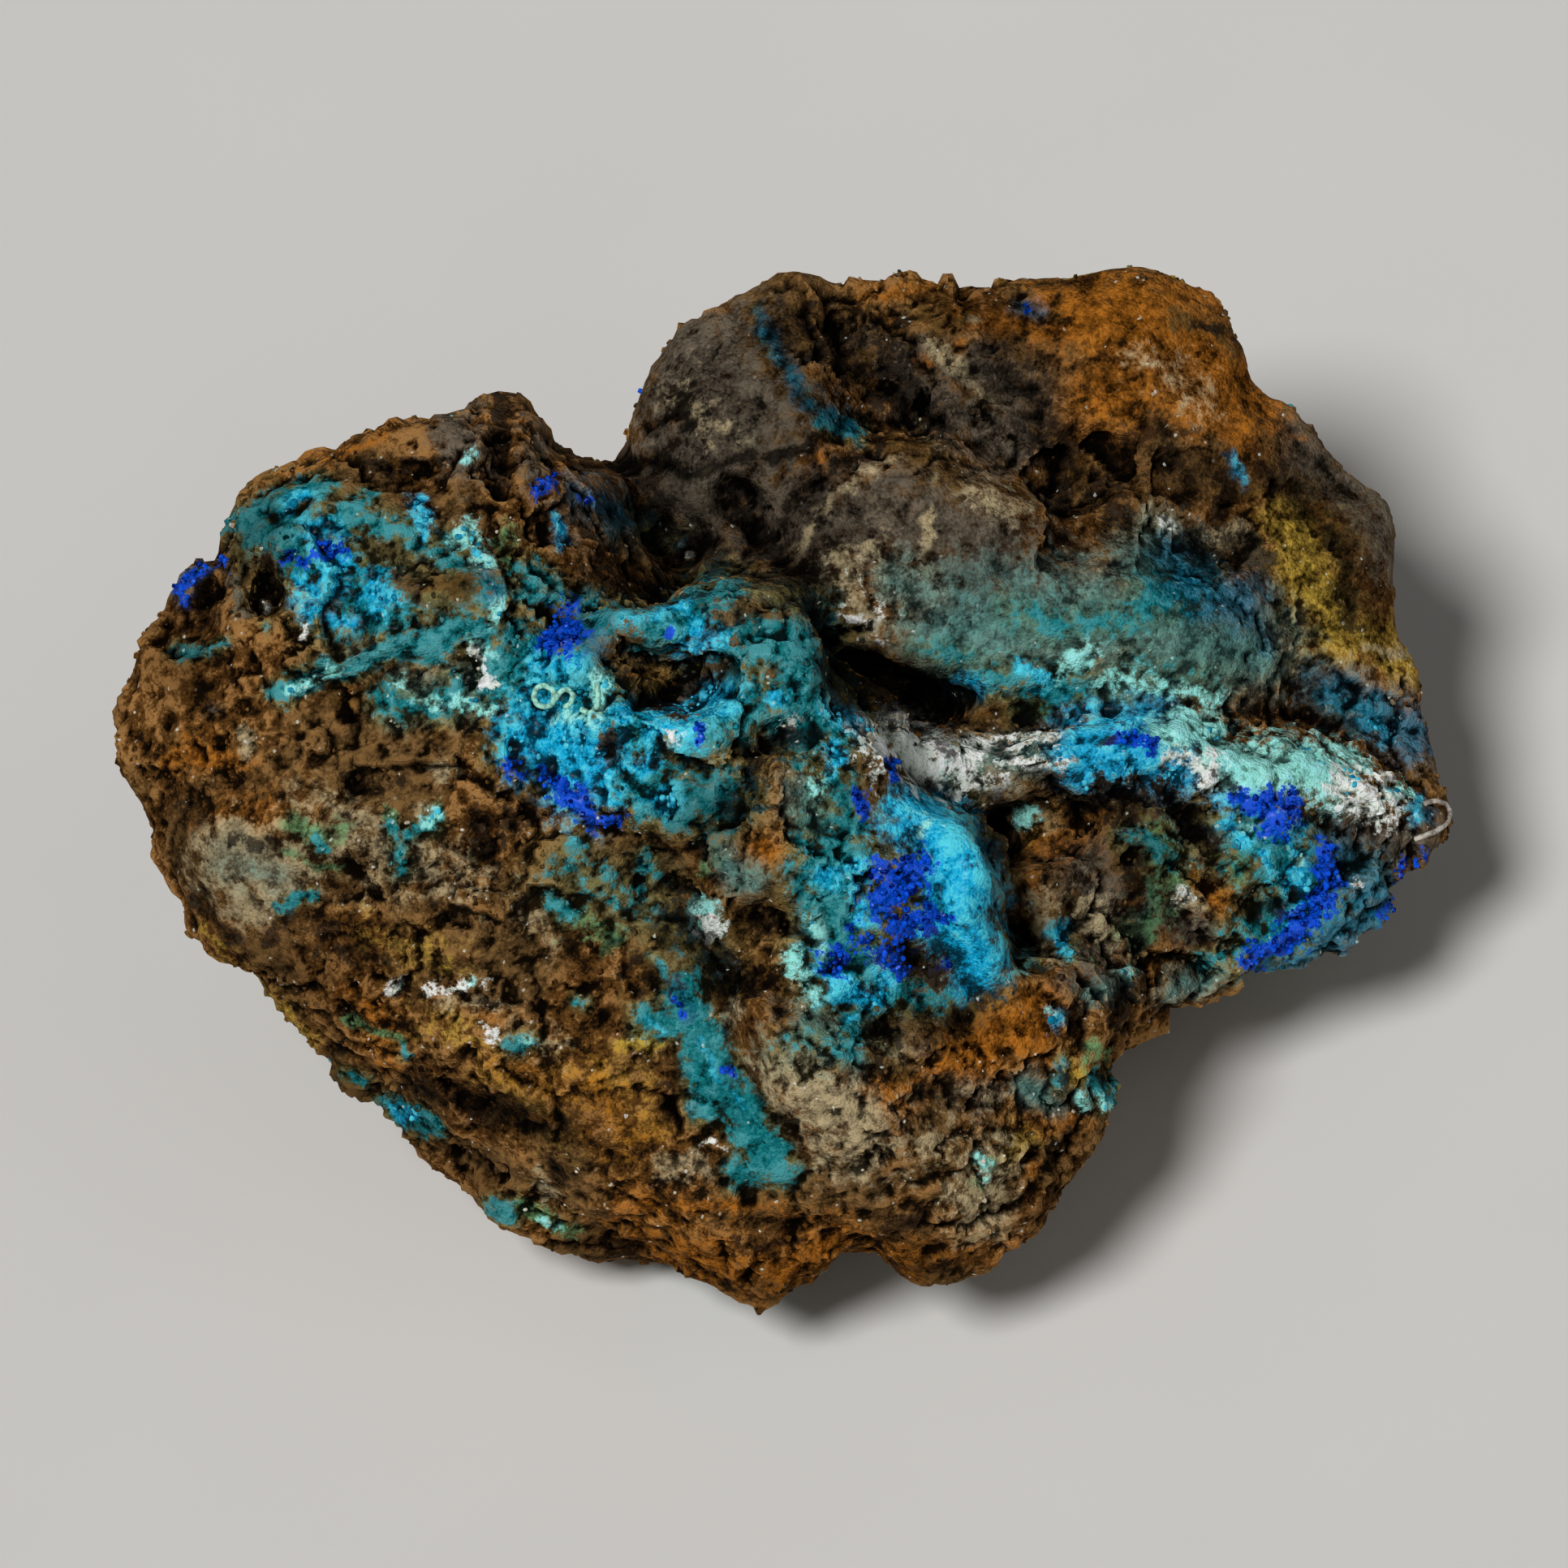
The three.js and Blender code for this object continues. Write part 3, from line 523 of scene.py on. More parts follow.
# The dark layer is black oxide in the hollows and also painted shade: in the saddle, at the dome's foot,
# under the boulder, on the crest wall and in other places that lie in shadow.
DARK = {
    "top hollow": (13, 0.85, (455, 565), (505, 580)),
    "red cavity": (14, 0.75, (330, 690), (326, 750)),
    "rim hollow": (12, 1.0, (252, 725), (250, 755)),
    "rim hole": (8, 1.0, (226, 772)),
    "crack": (10, 1.2, (618, 492), (616, 540), (620, 592)),
    "small cavity": (8, 1.0, (405, 840)),
    "orange cavity": (8, 1.0, (436, 882)),
    "left pits": (8, 0.9, (495, 965)),
    "left pits two": (10, 0.8, (425, 955), (455, 968)),
    "deep pits": (14, 1.0, (596, 1010), (606, 1046)),
    "shallow pits": (15, 0.8, (625, 1010), (648, 995)),
    "inclusion undercut": (8, 1.0, (318, 1162), (344, 1134), (382, 1124)),
    "inclusion groove": (9, 0.85, (246, 1100), (268, 1128), (282, 1150)),
    "inclusion speck": (7, 1.0, (288, 1038)),
    "inclusion speck two": (8, 1.0, (316, 1040)),
    "inclusion speck three": (6, 1.0, (285, 1078)),
    "left brown": (26, 0.62, (215, 985), (240, 1000)),
    "low left pit": (13, 0.9, (414, 1148)),
    "low left pit two": (14, 0.8, (530, 1122), (555, 1128)),
    "low left pit three": (13, 0.9, (420, 1290)),
    "low left band": (20, 0.62, (380, 1170), (480, 1175)),
    "low left ledge": (15, 0.9, (510, 1338), (560, 1350), (612, 1368), (690, 1388)),
    "ledge end": (12, 0.8, (676, 1430), (690, 1450)),
    "streak shade": (17, 0.75, (830, 1330), (838, 1370)),
    "bottom edge notch": (16, 1.0, (752, 1536), (778, 1542)),
    "bottom crease": (10, 0.8, (910, 1530), (970, 1528)),
    "bottom crease right": (12, 0.9, (1090, 1516), (1125, 1505)),
    "bottom gap": (12, 1.0, (1040, 1562), (1068, 1570)),
    "bottom right gap": (10, 0.9, (1160, 1560), (1176, 1570)),
    "central cavity": (14, 0.6, (768, 828), (806, 850), (838, 850)),
    "central cavity floor": (12, 1.0, (784, 860), (826, 862)),
    "centre pinhole": (9, 1.0, (760, 922)),
    "centre crevice": (15, 1.0, (992, 904), (932, 930), (906, 992)),
    "nose slot": (12, 1.0, (850, 1142), (888, 1186), (926, 1216)),
    "nose wall": (20, 0.8, (820, 1150), (840, 1110)),
    "red pit": (24, 0.75, (925, 1140), (950, 1142)),
    "slab pit": (24, 0.85, (1112, 1172), (1142, 1192)),
    "streak hole": (7, 1.0, (773, 1275)),
    "under the boulder": (32, 0.95, (1040, 818), (1092, 850), (1130, 858), (1172, 866)),
    "under the boulder left": (16, 0.9, (975, 720), (1002, 770)),
    "dome crevice": (17, 1.0, (905, 606), (936, 650), (962, 694)),
    "dome foot": (24, 0.85, (800, 620), (880, 690)),
    "dome seam": (7, 0.95, (800, 562), (850, 580), (950, 562), (1005, 540)),
    "dome upper seam": (6, 0.9, (800, 530), (840, 502), (872, 480)),
    "crags": (50, 0.6, (1000, 390), (1080, 430), (1130, 490)),
    "crag pit": (20, 1.0, (1028, 395), (1042, 455)),
    "crag pit two": (26, 1.0, (1098, 485), (1152, 520)),
    "crag pit three": (12, 0.9, (1100, 400)),
    "crag right": (48, 0.6, (1230, 440), (1290, 520)),
    "cap cleft": (14, 0.9, (1308, 522), (1318, 570), (1306, 632)),
    "cap cleft two": (16, 0.9, (1350, 592), (1376, 628)),
    "cap cleft three": (18, 0.95, (1428, 528), (1438, 575)),
    "cap hole": (14, 1.0, (1456, 615)),
    "cap hole two": (12, 1.0, (1505, 590), (1506, 635)),
    "cap hole three": (12, 0.9, (1570, 596)),
    "cap olive": (15, 0.75, (1330, 345)),
    "sugar ground": (28, 0.8, (1470, 680), (1545, 680)),
    "right band": (19, 0.85, (1550, 572), (1620, 622), (1660, 700), (1662, 760)),
    "wash hole": (6, 1.0, (1346, 711)),
    "ochre hole": (9, 1.0, (1570, 780)),
    "brown over the vein": (26, 0.55, (1540, 870), (1640, 890)),
    "right pit": (19, 1.0, (1222, 1000), (1236, 1036)),
    "right pit under the vein": (24, 0.72, (1300, 968), (1360, 978), (1444, 972)),
    "right lobe pit": (15, 0.9, (1446, 990), (1496, 1030)),
    "right lobe groove": (12, 0.75, (1398, 1050), (1394, 1120), (1402, 1180)),
    "right lobe low": (15, 0.9, (1388, 1215), (1378, 1262)),
    "right lobe dark": (14, 0.8, (1560, 1120), (1590, 1118)),
    "low right hole": (15, 0.9, (1072, 1262), (1098, 1274)),
    "low right hole two": (13, 1.0, (1186, 1256)),
    "low right hole three": (15, 0.95, (1088, 1318)),
    "low right hollow": (15, 0.7, (1144, 1348), (1166, 1338)),
    "low right cavity": (18, 1.0, (1326, 1262)),
    "low right slot": (7, 1.0, (1312, 1312), (1313, 1364)),
    "low right groove": (10, 0.8, (1320, 1398), (1292, 1420)),
    "low right brown": (22, 0.65, (1230, 1215), (1210, 1240)),
    "slab flank": (9, 0.7, (1244, 1010), (1258, 1085), (1250, 1120), (1276, 1195)),
    "cap foot": (40, 0.6, (1330, 560), (1420, 570), (1500, 590)),
    "vein crack": (5, 0.95, (1138, 955), (1148, 978)),
    "vein crack two": (4, 0.95, (1160, 912), (1176, 934), (1168, 950)),
    "vein crack three": (5, 0.95, (1228, 922), (1250, 936)),
    "vein crack four": (4, 0.9, (1200, 950), (1214, 970)),
    "vein spot": (8, 1.0, (1580, 928)),
    "vein spot two": (7, 0.95, (1358, 905)),
    "vein fleck": (6, 0.9, (1500, 950), (1516, 966)),
    "saddle": (40, 0.5, (760, 660), (850, 690), (930, 700)),
    "crest wall": (13, 0.85, (1002, 748), (1026, 802), (1046, 866)),
    "crest back": (13, 0.8, (900, 704), (960, 716), (1000, 740)),
    "cap fleck": (11, 0.9, (1478, 396), (1500, 404)),
    "crest left": (24, 0.72, (735, 705), (800, 722)),
    "right pit middle": (30, 0.66, (1320, 990), (1376, 1006)),
    "streak head": (28, 0.64, (778, 1194), (815, 1214)),
    "cap cleft left": (28, 0.72, (1290, 540), (1345, 600)),
    "face edge": (9, 0.85, (930, 700), (975, 630), (1030, 575), (1085, 545)),
}
WASH = {
    "boulder wash": (62, 0.95, (1175, 785), (1270, 765), (1360, 765), (1450, 780)),
    "boulder wash right": (46, 1.0, (1420, 700), (1480, 800), (1540, 800)),
    "boulder wash low": (30, 0.85, (1340, 860), (1460, 840)),
    "sparkling block rim": (28, 0.7, (1000, 1260), (1060, 1300)),
    "right lobe foot": (26, 0.75, (1440, 1220), (1500, 1200)),
    "right lobe green": (26, 0.6, (1400, 1150), (1420, 1110)),
    "low right": (22, 0.85, (1270, 1340), (1290, 1355)),
    "low right stone": (16, 0.8, (1330, 1350)),
    "nose foot": (24, 0.75, (880, 1050), (920, 1080)),
    "left grey blue": (22, 0.75, (500, 862), (525, 862)),
    "grey green": (22, 0.75, (1350, 1225), (1380, 1215)),
    "right lobe edge": (30, 0.7, (1680, 1070), (1704, 1092)),
    "left wash": (40, 0.72, (510, 860), (590, 850)),
    "face foot": (34, 0.72, (1110, 715), (1150, 740)),
    "vein left": (40, 0.8, (1180, 940), (1300, 935)),
    "nose top": (36, 0.72, (985, 985), (1015, 1010)),
    "inclusion": (40, 0.5, (284, 1060), (340, 1084)),
}
GREEN = {
    "inclusion top": (13, 0.85, (360, 1012), (390, 1030), (415, 1018)),
    "inclusion seam": (7, 0.85, (350, 1046), (390, 1066), (425, 1072)),
    "left pale green": (15, 0.8, (625, 650), (628, 695)),
    "left hook": (11, 0.75, (478, 1000), (488, 1020)),
    "right lobe": (32, 0.75, (1420, 1030), (1445, 1090), (1400, 1150)),
    "right lobe upper": (20, 0.7, (1410, 985), (1425, 1010)),
    "right lobe middle": (20, 0.7, (1530, 1080), (1540, 1040)),
    "boulder foot": (22, 0.7, (1240, 880), (1290, 870)),
    "low left seam": (5, 0.9, (420, 1250), (460, 1272), (494, 1290)),
    "low rim green": (13, 0.9, (650, 1480), (682, 1510), (700, 1520)),
    "low right pale": (18, 0.6, (1205, 1465), (1220, 1440)),
    "nose side": (16, 0.6, (860, 1080), (880, 1050)),
    "low right stone": (11, 0.8, (1354, 1290), (1346, 1300)),
    "middle": (40, 0.6, (710, 1130), (750, 1150)),
}
TEAL = {
    "upper rim band": (15, 0.95, (285, 645), (320, 635), (350, 615), (400, 600)),
    "left patch": (20, 0.75, (305, 660), (345, 665)),
    "left branch": (12, 0.85, (400, 645), (440, 630), (450, 610)),
    "left druse ground": (46, 0.95, (350, 660), (380, 690), (420, 730), (470, 750)),
    "left rim dark": (12, 0.8, (220, 800), (270, 795)),
    "left rim spot": (10, 0.7, (325, 775)),
    "left tongue": (14, 0.95, (345, 852), (395, 826), (440, 815), (480, 802), (540, 800), (592, 770)),
    "left tongue low": (22, 0.8, (480, 860), (540, 880), (560, 840)),
    "left upper patch": (15, 0.75, (500, 668), (560, 664)),
    "left stripe foot": (18, 0.8, (590, 715), (612, 735)),
    "middle patch": (17, 0.8, (640, 735), (672, 740)),
    "centre ground": (50, 1.05, (640, 830), (700, 840), (690, 900)),
    "centre crest": (28, 1.05, (735, 768), (790, 782), (850, 756), (890, 736)),
    "centre right": (46, 1.0, (920, 790), (980, 790), (985, 850), (1000, 890)),
    "centre middle": (40, 1.0, (760, 895), (830, 890), (900, 870)),
    "centre low": (34, 0.95, (780, 960), (830, 990), (890, 980)),
    "crest right": (24, 0.8, (1030, 880), (1070, 905)),
    "right of the crevice": (28, 0.7, (1030, 960), (1050, 1010)),
    "nose left": (17, 0.7, (790, 1062), (800, 1080)),
    "below the streak of blue": (14, 0.8, (700, 1050), (710, 1035)),
    "small patch": (16, 0.9, (688, 1118), (698, 1128)),
    "fibres": (46, 1.0, (1030, 1060), (1030, 1130), (1040, 1190)),
    "fibre foot": (30, 0.8, (1010, 1200), (1060, 1230)),
    "slab ground": (40, 1.0, (1150, 1010), (1180, 1075), (1165, 1150), (1200, 1185)),
    "slab foot": (26, 0.95, (1090, 1210), (1150, 1220)),
    "tail below the slab": (14, 0.9, (1048, 1250), (1052, 1290)),
    "tail wash": (20, 0.6, (970, 1280), (1060, 1300)),
    "streak head": (9, 0.9, (806, 1180), (822, 1200)),
    "streak": (17, 1.2, (840, 1222), (858, 1268), (880, 1325), (910, 1372), (945, 1428)),
    "streak shoulder": (15, 1.05, (795, 1262), (832, 1264)),
    "streak branch": (17, 1.0, (868, 1325), (874, 1370)),
    "streak foot": (15, 0.95, (912, 1432), (906, 1450)),
    "streak tip": (16, 0.95, (960, 1440), (968, 1448)),
    "low left line": (8, 0.95, (435, 1325), (452, 1336)),
    "low left line two": (10, 1.0, (480, 1362), (510, 1382), (535, 1392)),
    "low left bead": (8, 0.9, (496, 1304)),
    "low rim": (13, 1.0, (612, 1488), (630, 1490)),
    "low grain": (16, 0.85, (630, 1290), (645, 1280)),
    "left hook": (11, 0.95, (482, 1022), (490, 1050), (488, 1070)),
    "left hook end": (8, 0.95, (505, 1034), (532, 1022), (536, 1000)),
    "inclusion edge": (7, 0.9, (345, 1120), (372, 1108), (395, 1100)),
    "inclusion top": (9, 0.8, (385, 1032), (395, 1045)),
    "left of the low middle": (11, 0.8, (712, 1232), (722, 1240)),
    "seam on the boulder": (9, 0.55, (935, 380), (955, 430), (988, 474), (1022, 505)),
    "seam foot": (17, 0.75, (1022, 515), (1056, 530)),
    "boulder wash": (30, 0.62, (1250, 760), (1390, 770)),
    "boulder right": (34, 0.85, (1420, 745), (1480, 715)),
    "boulder foot": (24, 0.85, (1185, 842), (1270, 835), (1320, 850)),
    "boulder foot left": (20, 0.6, (1130, 800), (1180, 810)),
    "right edge": (26, 0.75, (1630, 860), (1700, 880)),
    "right lobe": (26, 0.7, (1400, 1030), (1440, 1060)),
    "right lobe arc ground": (46, 0.9, (1540, 1020), (1590, 1060), (1630, 1110), (1560, 1160)),
    "right lobe low": (22, 0.65, (1640, 1150), (1700, 1120)),
    "right lobe foot": (13, 0.8, (1475, 1185), (1500, 1180)),
    "right grey patch": (14, 0.8, (1305, 1150), (1316, 1170)),
    "right grey patch low": (14, 0.7, (1265, 1165), (1270, 1185)),
    "low right slot": (10, 0.9, (1306, 1330), (1310, 1300)),
    "low right stone": (13, 1.0, (1356, 1335), (1362, 1350)),
    "vein shadow": (14, 0.8, (1405, 965), (1390, 950)),
    "left band": (20, 0.8, (430, 640), (500, 650), (560, 690), (600, 740)),
    "left tongue upper": (24, 0.7, (480, 790), (560, 780), (610, 800)),
    "left lower wash": (30, 0.75, (600, 790), (640, 860), (620, 920)),
    "left of the crest": (24, 0.75, (640, 700), (690, 745)),
    "centre sprinkle": (80, 0.42, (690, 1070), (800, 1110), (880, 1180)),
    "left sprinkle": (70, 0.4, (330, 720), (480, 700), (560, 760)),
    "block sprinkle": (60, 0.36, (960, 1290), (1080, 1290)),
    "right sprinkle": (70, 0.45, (1440, 1010), (1560, 1080), (1680, 1100)),
    "boulder sprinkle": (60, 0.4, (1180, 830), (1320, 840), (1480, 830)),
    "saddle specks": (40, 0.42, (760, 640), (830, 660)),
    "crest middle": (30, 0.9, (850, 850), (880, 870)),
}
SKY = {
    "upper rim spot": (10, 0.9, (380, 613), (360, 622)),
    "left stripe": (12, 0.9, (510, 622), (520, 650)),
    "left druse": (30, 0.75, (385, 660), (410, 700), (380, 742)),
    "left triangle": (20, 0.85, (450, 720), (476, 742)),
    "left pale": (11, 0.8, (405, 760), (435, 765)),
    "left strip": (8, 0.85, (692, 640), (694, 676)),
    "centre sky": (42, 1.08, (668, 905), (720, 925), (715, 950)),
    "centre upper": (26, 0.8, (665, 830), (705, 820)),
    "centre lump": (16, 0.95, (765, 882)),
    "centre lump two": (22, 1.0, (805, 890), (842, 898)),
    "centre lump three": (14, 0.9, (880, 862), (898, 852)),
    "centre lump four": (12, 0.9, (960, 862)),
    "centre lump five": (14, 0.85, (785, 950), (800, 940)),
    "centre low": (16, 0.85, (815, 985), (830, 980)),
    "crest": (14, 0.75, (760, 770), (850, 748)),
    "crest right": (15, 0.9, (1030, 872), (1062, 895), (1085, 918)),
    "right of the crevice": (13, 0.75, (1020, 925), (1030, 940)),
    "fibres": (17, 0.75, (1015, 1080), (1060, 1070), (1065, 1130)),
    "fibre foot": (17, 0.85, (1015, 1190), (1040, 1220), (1070, 1225)),
    "slab": (36, 1.15, (1140, 1010), (1172, 1060), (1185, 1090)),
    "slab low": (34, 1.1, (1165, 1140), (1198, 1180)),
    "slab left": (15, 0.9, (1090, 1205), (1085, 1190)),
    "streak": (6, 0.62, (862, 1275), (890, 1330), (915, 1372)),
    "streak shoulder": (8, 0.6, (800, 1265), (820, 1275)),
    "low left line": (5, 0.95, (486, 1366), (508, 1380)),
    "vein start": (28, 1.5, (1350, 930), (1400, 915), (1430, 935)),
    "vein middle": (17, 0.9, (1515, 945), (1540, 975)),
    "vein right": (22, 0.7, (1600, 945), (1640, 965)),
    "vein foot": (20, 0.85, (1510, 985), (1560, 1000), (1590, 1020)),
    "above the vein": (14, 0.8, (1322, 880), (1318, 905)),
    "boulder foot": (16, 0.85, (1178, 838), (1196, 850)),
    "boulder foot right": (16, 0.8, (1262, 828), (1284, 836)),
    "right edge": (20, 0.7, (1680, 880), (1700, 900)),
    "right lobe arc": (17, 0.9, (1600, 1070), (1610, 1130), (1580, 1160)),
    "right lobe spot": (12, 0.7, (1715, 1110), (1690, 1130)),
    "grey patch": (11, 0.9, (1302, 1148), (1314, 1166)),
    "bead": (12, 1.0, (1297, 1258)),
    "cap crystals": (8, 0.8, (1532, 600), (1516, 572)),
    "tail": (8, 0.8, (1048, 1258)),
    "right tip": (13, 0.8, (1742, 1000), (1748, 990)),
    "right lobe specks": (8, 0.95, (1512, 1018), (1534, 1046)),
    "right lobe specks two": (7, 0.95, (1560, 1052), (1568, 1080)),
    "crest middle": (22, 0.8, (850, 795), (885, 785)),
    "below the cavity": (26, 0.95, (840, 876), (885, 858)),
    "boulder blue": (13, 0.72, (1462, 706), (1490, 728)),
}
NAVY = {
    "boulder blue": (32, 1.0, (1450, 690), (1490, 730), (1530, 742)),
    "boulder blue foot": (22, 0.7, (1540, 745), (1560, 790)),
    "right blue": (34, 0.95, (1630, 850), (1690, 875), (1740, 900)),
    "seam": (11, 0.85, (940, 385), (965, 440), (990, 480)),
    "seam foot": (16, 0.75, (1000, 490), (1050, 525)),
    "right lobe": (46, 0.85, (1640, 1060), (1700, 1110), (1640, 1160)),
    "right lobe low": (24, 0.8, (1560, 1190), (1620, 1185)),
    "saddle": (26, 0.8, (720, 610), (770, 640)),
    "left rim": (18, 0.9, (215, 720), (245, 702)),
    "vein shadow": (18, 0.8, (1400, 960), (1390, 985)),
    "boulder top": (14, 0.7, (1250, 378), (1275, 382)),
    "left stripe": (14, 0.8, (590, 700), (605, 735)),
    "streak head": (12, 0.8, (826, 1205), (850, 1245)),
    "right tip": (10, 1.0, (1760, 1006)),
    "left of the cavity": (28, 0.85, (712, 775), (735, 805)),
}
MINT = {
    "left ridge": (14, 0.95, (572, 652), (598, 690)),
    "left beads": (10, 0.95, (610, 742), (614, 762)),
    "left tongue": (9, 0.75, (360, 848), (420, 818)),
    "top block specks": (6, 0.9, (570, 568), (585, 553)),
    "centre ring ground": (12, 0.8, (690, 882), (722, 880)),
    "centre bar": (8, 0.95, (735, 838), (735, 878)),
    "slab spot": (12, 1.0, (1137, 1018)),
    "white crystal": (15, 1.0, (868, 1120), (872, 1145)),
    "fibre foot": (22, 0.7, (985, 1190), (1000, 1220)),
    "crevice rim": (12, 0.7, (1000, 1130), (1012, 1170)),
    "right of the crevice": (14, 0.7, (1008, 960), (1014, 980)),
    "vein middle": (24, 1.0, (1440, 900), (1490, 905), (1500, 930)),
    "vein right": (30, 1.1, (1530, 945), (1600, 950), (1650, 962)),
    "vein end": (18, 0.8, (1690, 985), (1725, 975)),
    "vein pocket": (14, 0.9, (1255, 1000), (1270, 1008)),
    "boulder foot": (18, 0.75, (1345, 805), (1312, 822)),
    "boulder wash": (22, 0.65, (1360, 840), (1440, 850), (1490, 860)),
    "hook": (8, 0.8, (536, 995), (530, 1020)),
    "low grain": (10, 0.75, (648, 1276)),
    "low rim": (9, 0.75, (670, 1505), (690, 1515)),
    "low right": (14, 0.75, (1215, 1450), (1205, 1430)),
    "low right stone": (13, 0.85, (1332, 1348), (1336, 1360)),
    "low right wall": (9, 0.85, (1362, 1362)),
    "grey patch": (9, 0.9, (1385, 1198)),
    "low white": (9, 0.85, (488, 1212)),
    "right lobe": (9, 0.8, (1530, 1020)),
    "bead": (7, 0.9, (1290, 1250)),
    "low left hook": (8, 0.75, (560, 1215), (572, 1210)),
    "right lobe specks": (6, 0.9, (1590, 1046), (1600, 1060)),
    "vein left": (20, 0.95, (1112, 916), (1165, 944)),
    "left wash": (10, 0.72, (556, 866), (602, 880)),
    "left of the vein": (10, 0.75, (1268, 1180), (1262, 1196)),
    "left wash two": (12, 0.7, (580, 800), (612, 812)),
    "left grey blue": (14, 0.64, (496, 848), (536, 868)),
}
WHITE = {
    "vein left": (24, 1.2, (1092, 912), (1120, 908), (1140, 932)),
    "vein left two": (22, 0.85, (1122, 930), (1165, 942), (1210, 944)),
    "vein left three": (18, 0.8, (1180, 975), (1225, 960)),
    "vein thread": (13, 0.75, (1190, 915), (1250, 918), (1300, 908)),
    "vein thread two": (13, 0.72, (1240, 942), (1310, 940)),
    "vein middle": (14, 0.9, (1446, 930), (1480, 940)),
    "vein lip": (13, 0.85, (1490, 960), (1500, 940)),
    "vein end": (20, 1.05, (1660, 972), (1700, 990)),
    "vein tip": (9, 0.9, (1690, 960), (1710, 950)),
    "left patch": (12, 0.75, (582, 812), (590, 845)),
    "left speck": (5, 0.8, (380, 765), (378, 785)),
    "left speck two": (5, 1.0, (322, 748)),
    "low crystal": (9, 1.0, (486, 1213)),
    "low crystal two": (10, 0.88, (535, 1212), (560, 1214)),
    "low crystal three": (9, 0.88, (597, 1213)),
    "low thread": (8, 0.9, (595, 1268), (612, 1278)),
    "centre crystal": (11, 1.0, (878, 1135), (876, 1155)),
    "crevice crystals": (9, 0.95, (980, 890)),
    "lump": (10, 0.9, (825, 912)),
    "saddle dot": (5, 1.0, (848, 687)),
    "right lobe": (9, 0.95, (1458, 1105)),
    "right edge": (7, 0.9, (1672, 1086)),
    "streak sliver": (6, 0.85, (872, 1412), (888, 1416)),
    "cap sugar": (9, 0.8, (1430, 640), (1448, 656)),
    "boulder foot left": (10, 0.75, (1046, 758), (1082, 786)),
    "left wash": (6, 0.62, (566, 836), (610, 850)),
    "boulder foot specks": (26, 0.34, (1040, 700), (1090, 750)),
}
AZURITE = {
    "left rim": (12, 0.95, (222, 722), (242, 704)),
    "left rim two": (8, 0.9, (276, 697)),
    "left druse": (15, 0.85, (392, 676), (410, 680)),
    "left druse two": (12, 0.85, (368, 692)),
    "saddle": (9, 0.95, (672, 604), (682, 594)),
    "saddle two": (7, 0.9, (725, 615)),
    "left of the crest": (17, 1.05, (700, 766), (690, 796)),
    "centre streak": (10, 1.0, (632, 944), (644, 946)),
    "centre streak two": (14, 1.0, (682, 956), (712, 978), (726, 998)),
    "centre streak end": (9, 1.0, (735, 1002), (758, 1008)),
    "crest spot": (8, 0.8, (820, 780)),
    "lump": (10, 0.95, (858, 900)),
    "crevice right": (9, 1.0, (1060, 980), (1064, 988)),
    "crest foot": (8, 1.0, (1102, 955), (1100, 945)),
    "slab cluster": (24, 1.05, (1095, 1095), (1120, 1078)),
    "slab cluster two": (17, 1.0, (1105, 1140), (1138, 1128)),
    "slab cluster three": (15, 1.0, (1095, 1160), (1110, 1190)),
    "slab cluster four": (8, 1.0, (1155, 1125), (1176, 1132)),
    "slab cluster five": (9, 0.9, (1160, 1185)),
    "fibres": (15, 1.0, (1022, 1182), (1036, 1170)),
    "fibres two": (11, 1.0, (1052, 1160), (1060, 1155)),
    "fibres three": (7, 0.9, (1048, 1140)),
    "streak sliver": (3, 0.85, (896, 1310), (906, 1330)),
    "vein": (12, 0.95, (1380, 906), (1398, 906)),
    "vein two": (8, 1.0, (1418, 912), (1414, 922)),
    "right lobe": (18, 1.0, (1530, 988), (1590, 994)),
    "right lobe two": (15, 0.95, (1550, 1005), (1575, 1020)),
    "right arc": (13, 1.0, (1636, 1045), (1640, 1090), (1620, 1120)),
    "right arc two": (16, 1.0, (1610, 1135), (1580, 1160)),
    "right arc three": (12, 1.0, (1550, 1165), (1546, 1185)),
    "right edge": (12, 0.95, (1748, 1060), (1735, 1075)),
    "right edge low": (11, 0.75, (1700, 1130), (1716, 1110)),
    "boulder seam": (8, 0.7, (1262, 380)),
    "low left line": (5, 0.8, (484, 1364)),
    "slot": (6, 0.7, (828, 1225), (840, 1245)),
}
MINERALS = {
    "rust": RUST,
    "ochre": OCHRE,
    "grey": GREY,
    "pale": PALE,
    "earth": EARTH,
    "dark": DARK,
    "wash": WASH,
    "green": GREEN,
    "teal": TEAL,
    "sky": SKY,
    "navy": NAVY,
    "mint": MINT,
    "white": WHITE,
    "azurite": AZURITE,
}

# The minerals on the sides that the photo doesn't show: usual share, spread, and lump size in mm and seed.
HIDDEN_PATCHES = {
    "rust": (0.1, 1.3, 18.0, 31),
    "ochre": (0.05, 1.2, 16.0, 32),
    "grey": (0.05, 1.4, 22.0, 33),
    "pale": (-0.3, 1.1, 6.0, 34),
    "earth": (-0.1, 1.0, 8.0, 43),
    "dark": (-0.3, 1.0, 7.0, 35),
    "wash": (-0.25, 1.2, 13.0, 36),
    "green": (-0.2, 1.2, 11.0, 37),
    "teal": (-0.2, 1.4, 12.0, 38),
    "sky": (-0.55, 1.4, 12.0, 38),
    "navy": (-0.5, 1.1, 9.0, 39),
    "mint": (-0.55, 1.1, 5.0, 40),
    "white": (-0.65, 1.1, 5.0, 41),
    "azurite": (-0.6, 1.2, 6.0, 42),
}

# How hollow the skin is: the rounds of easing that it is compared with, and the depth in mm that counts as
# full. The coarser skin on the far sides takes this much more depth.
HOLLOWNESS = {"dent": (8, 0.16), "hollow": (70, 0.7)}
FAR_SIDE_MORE = 1.4
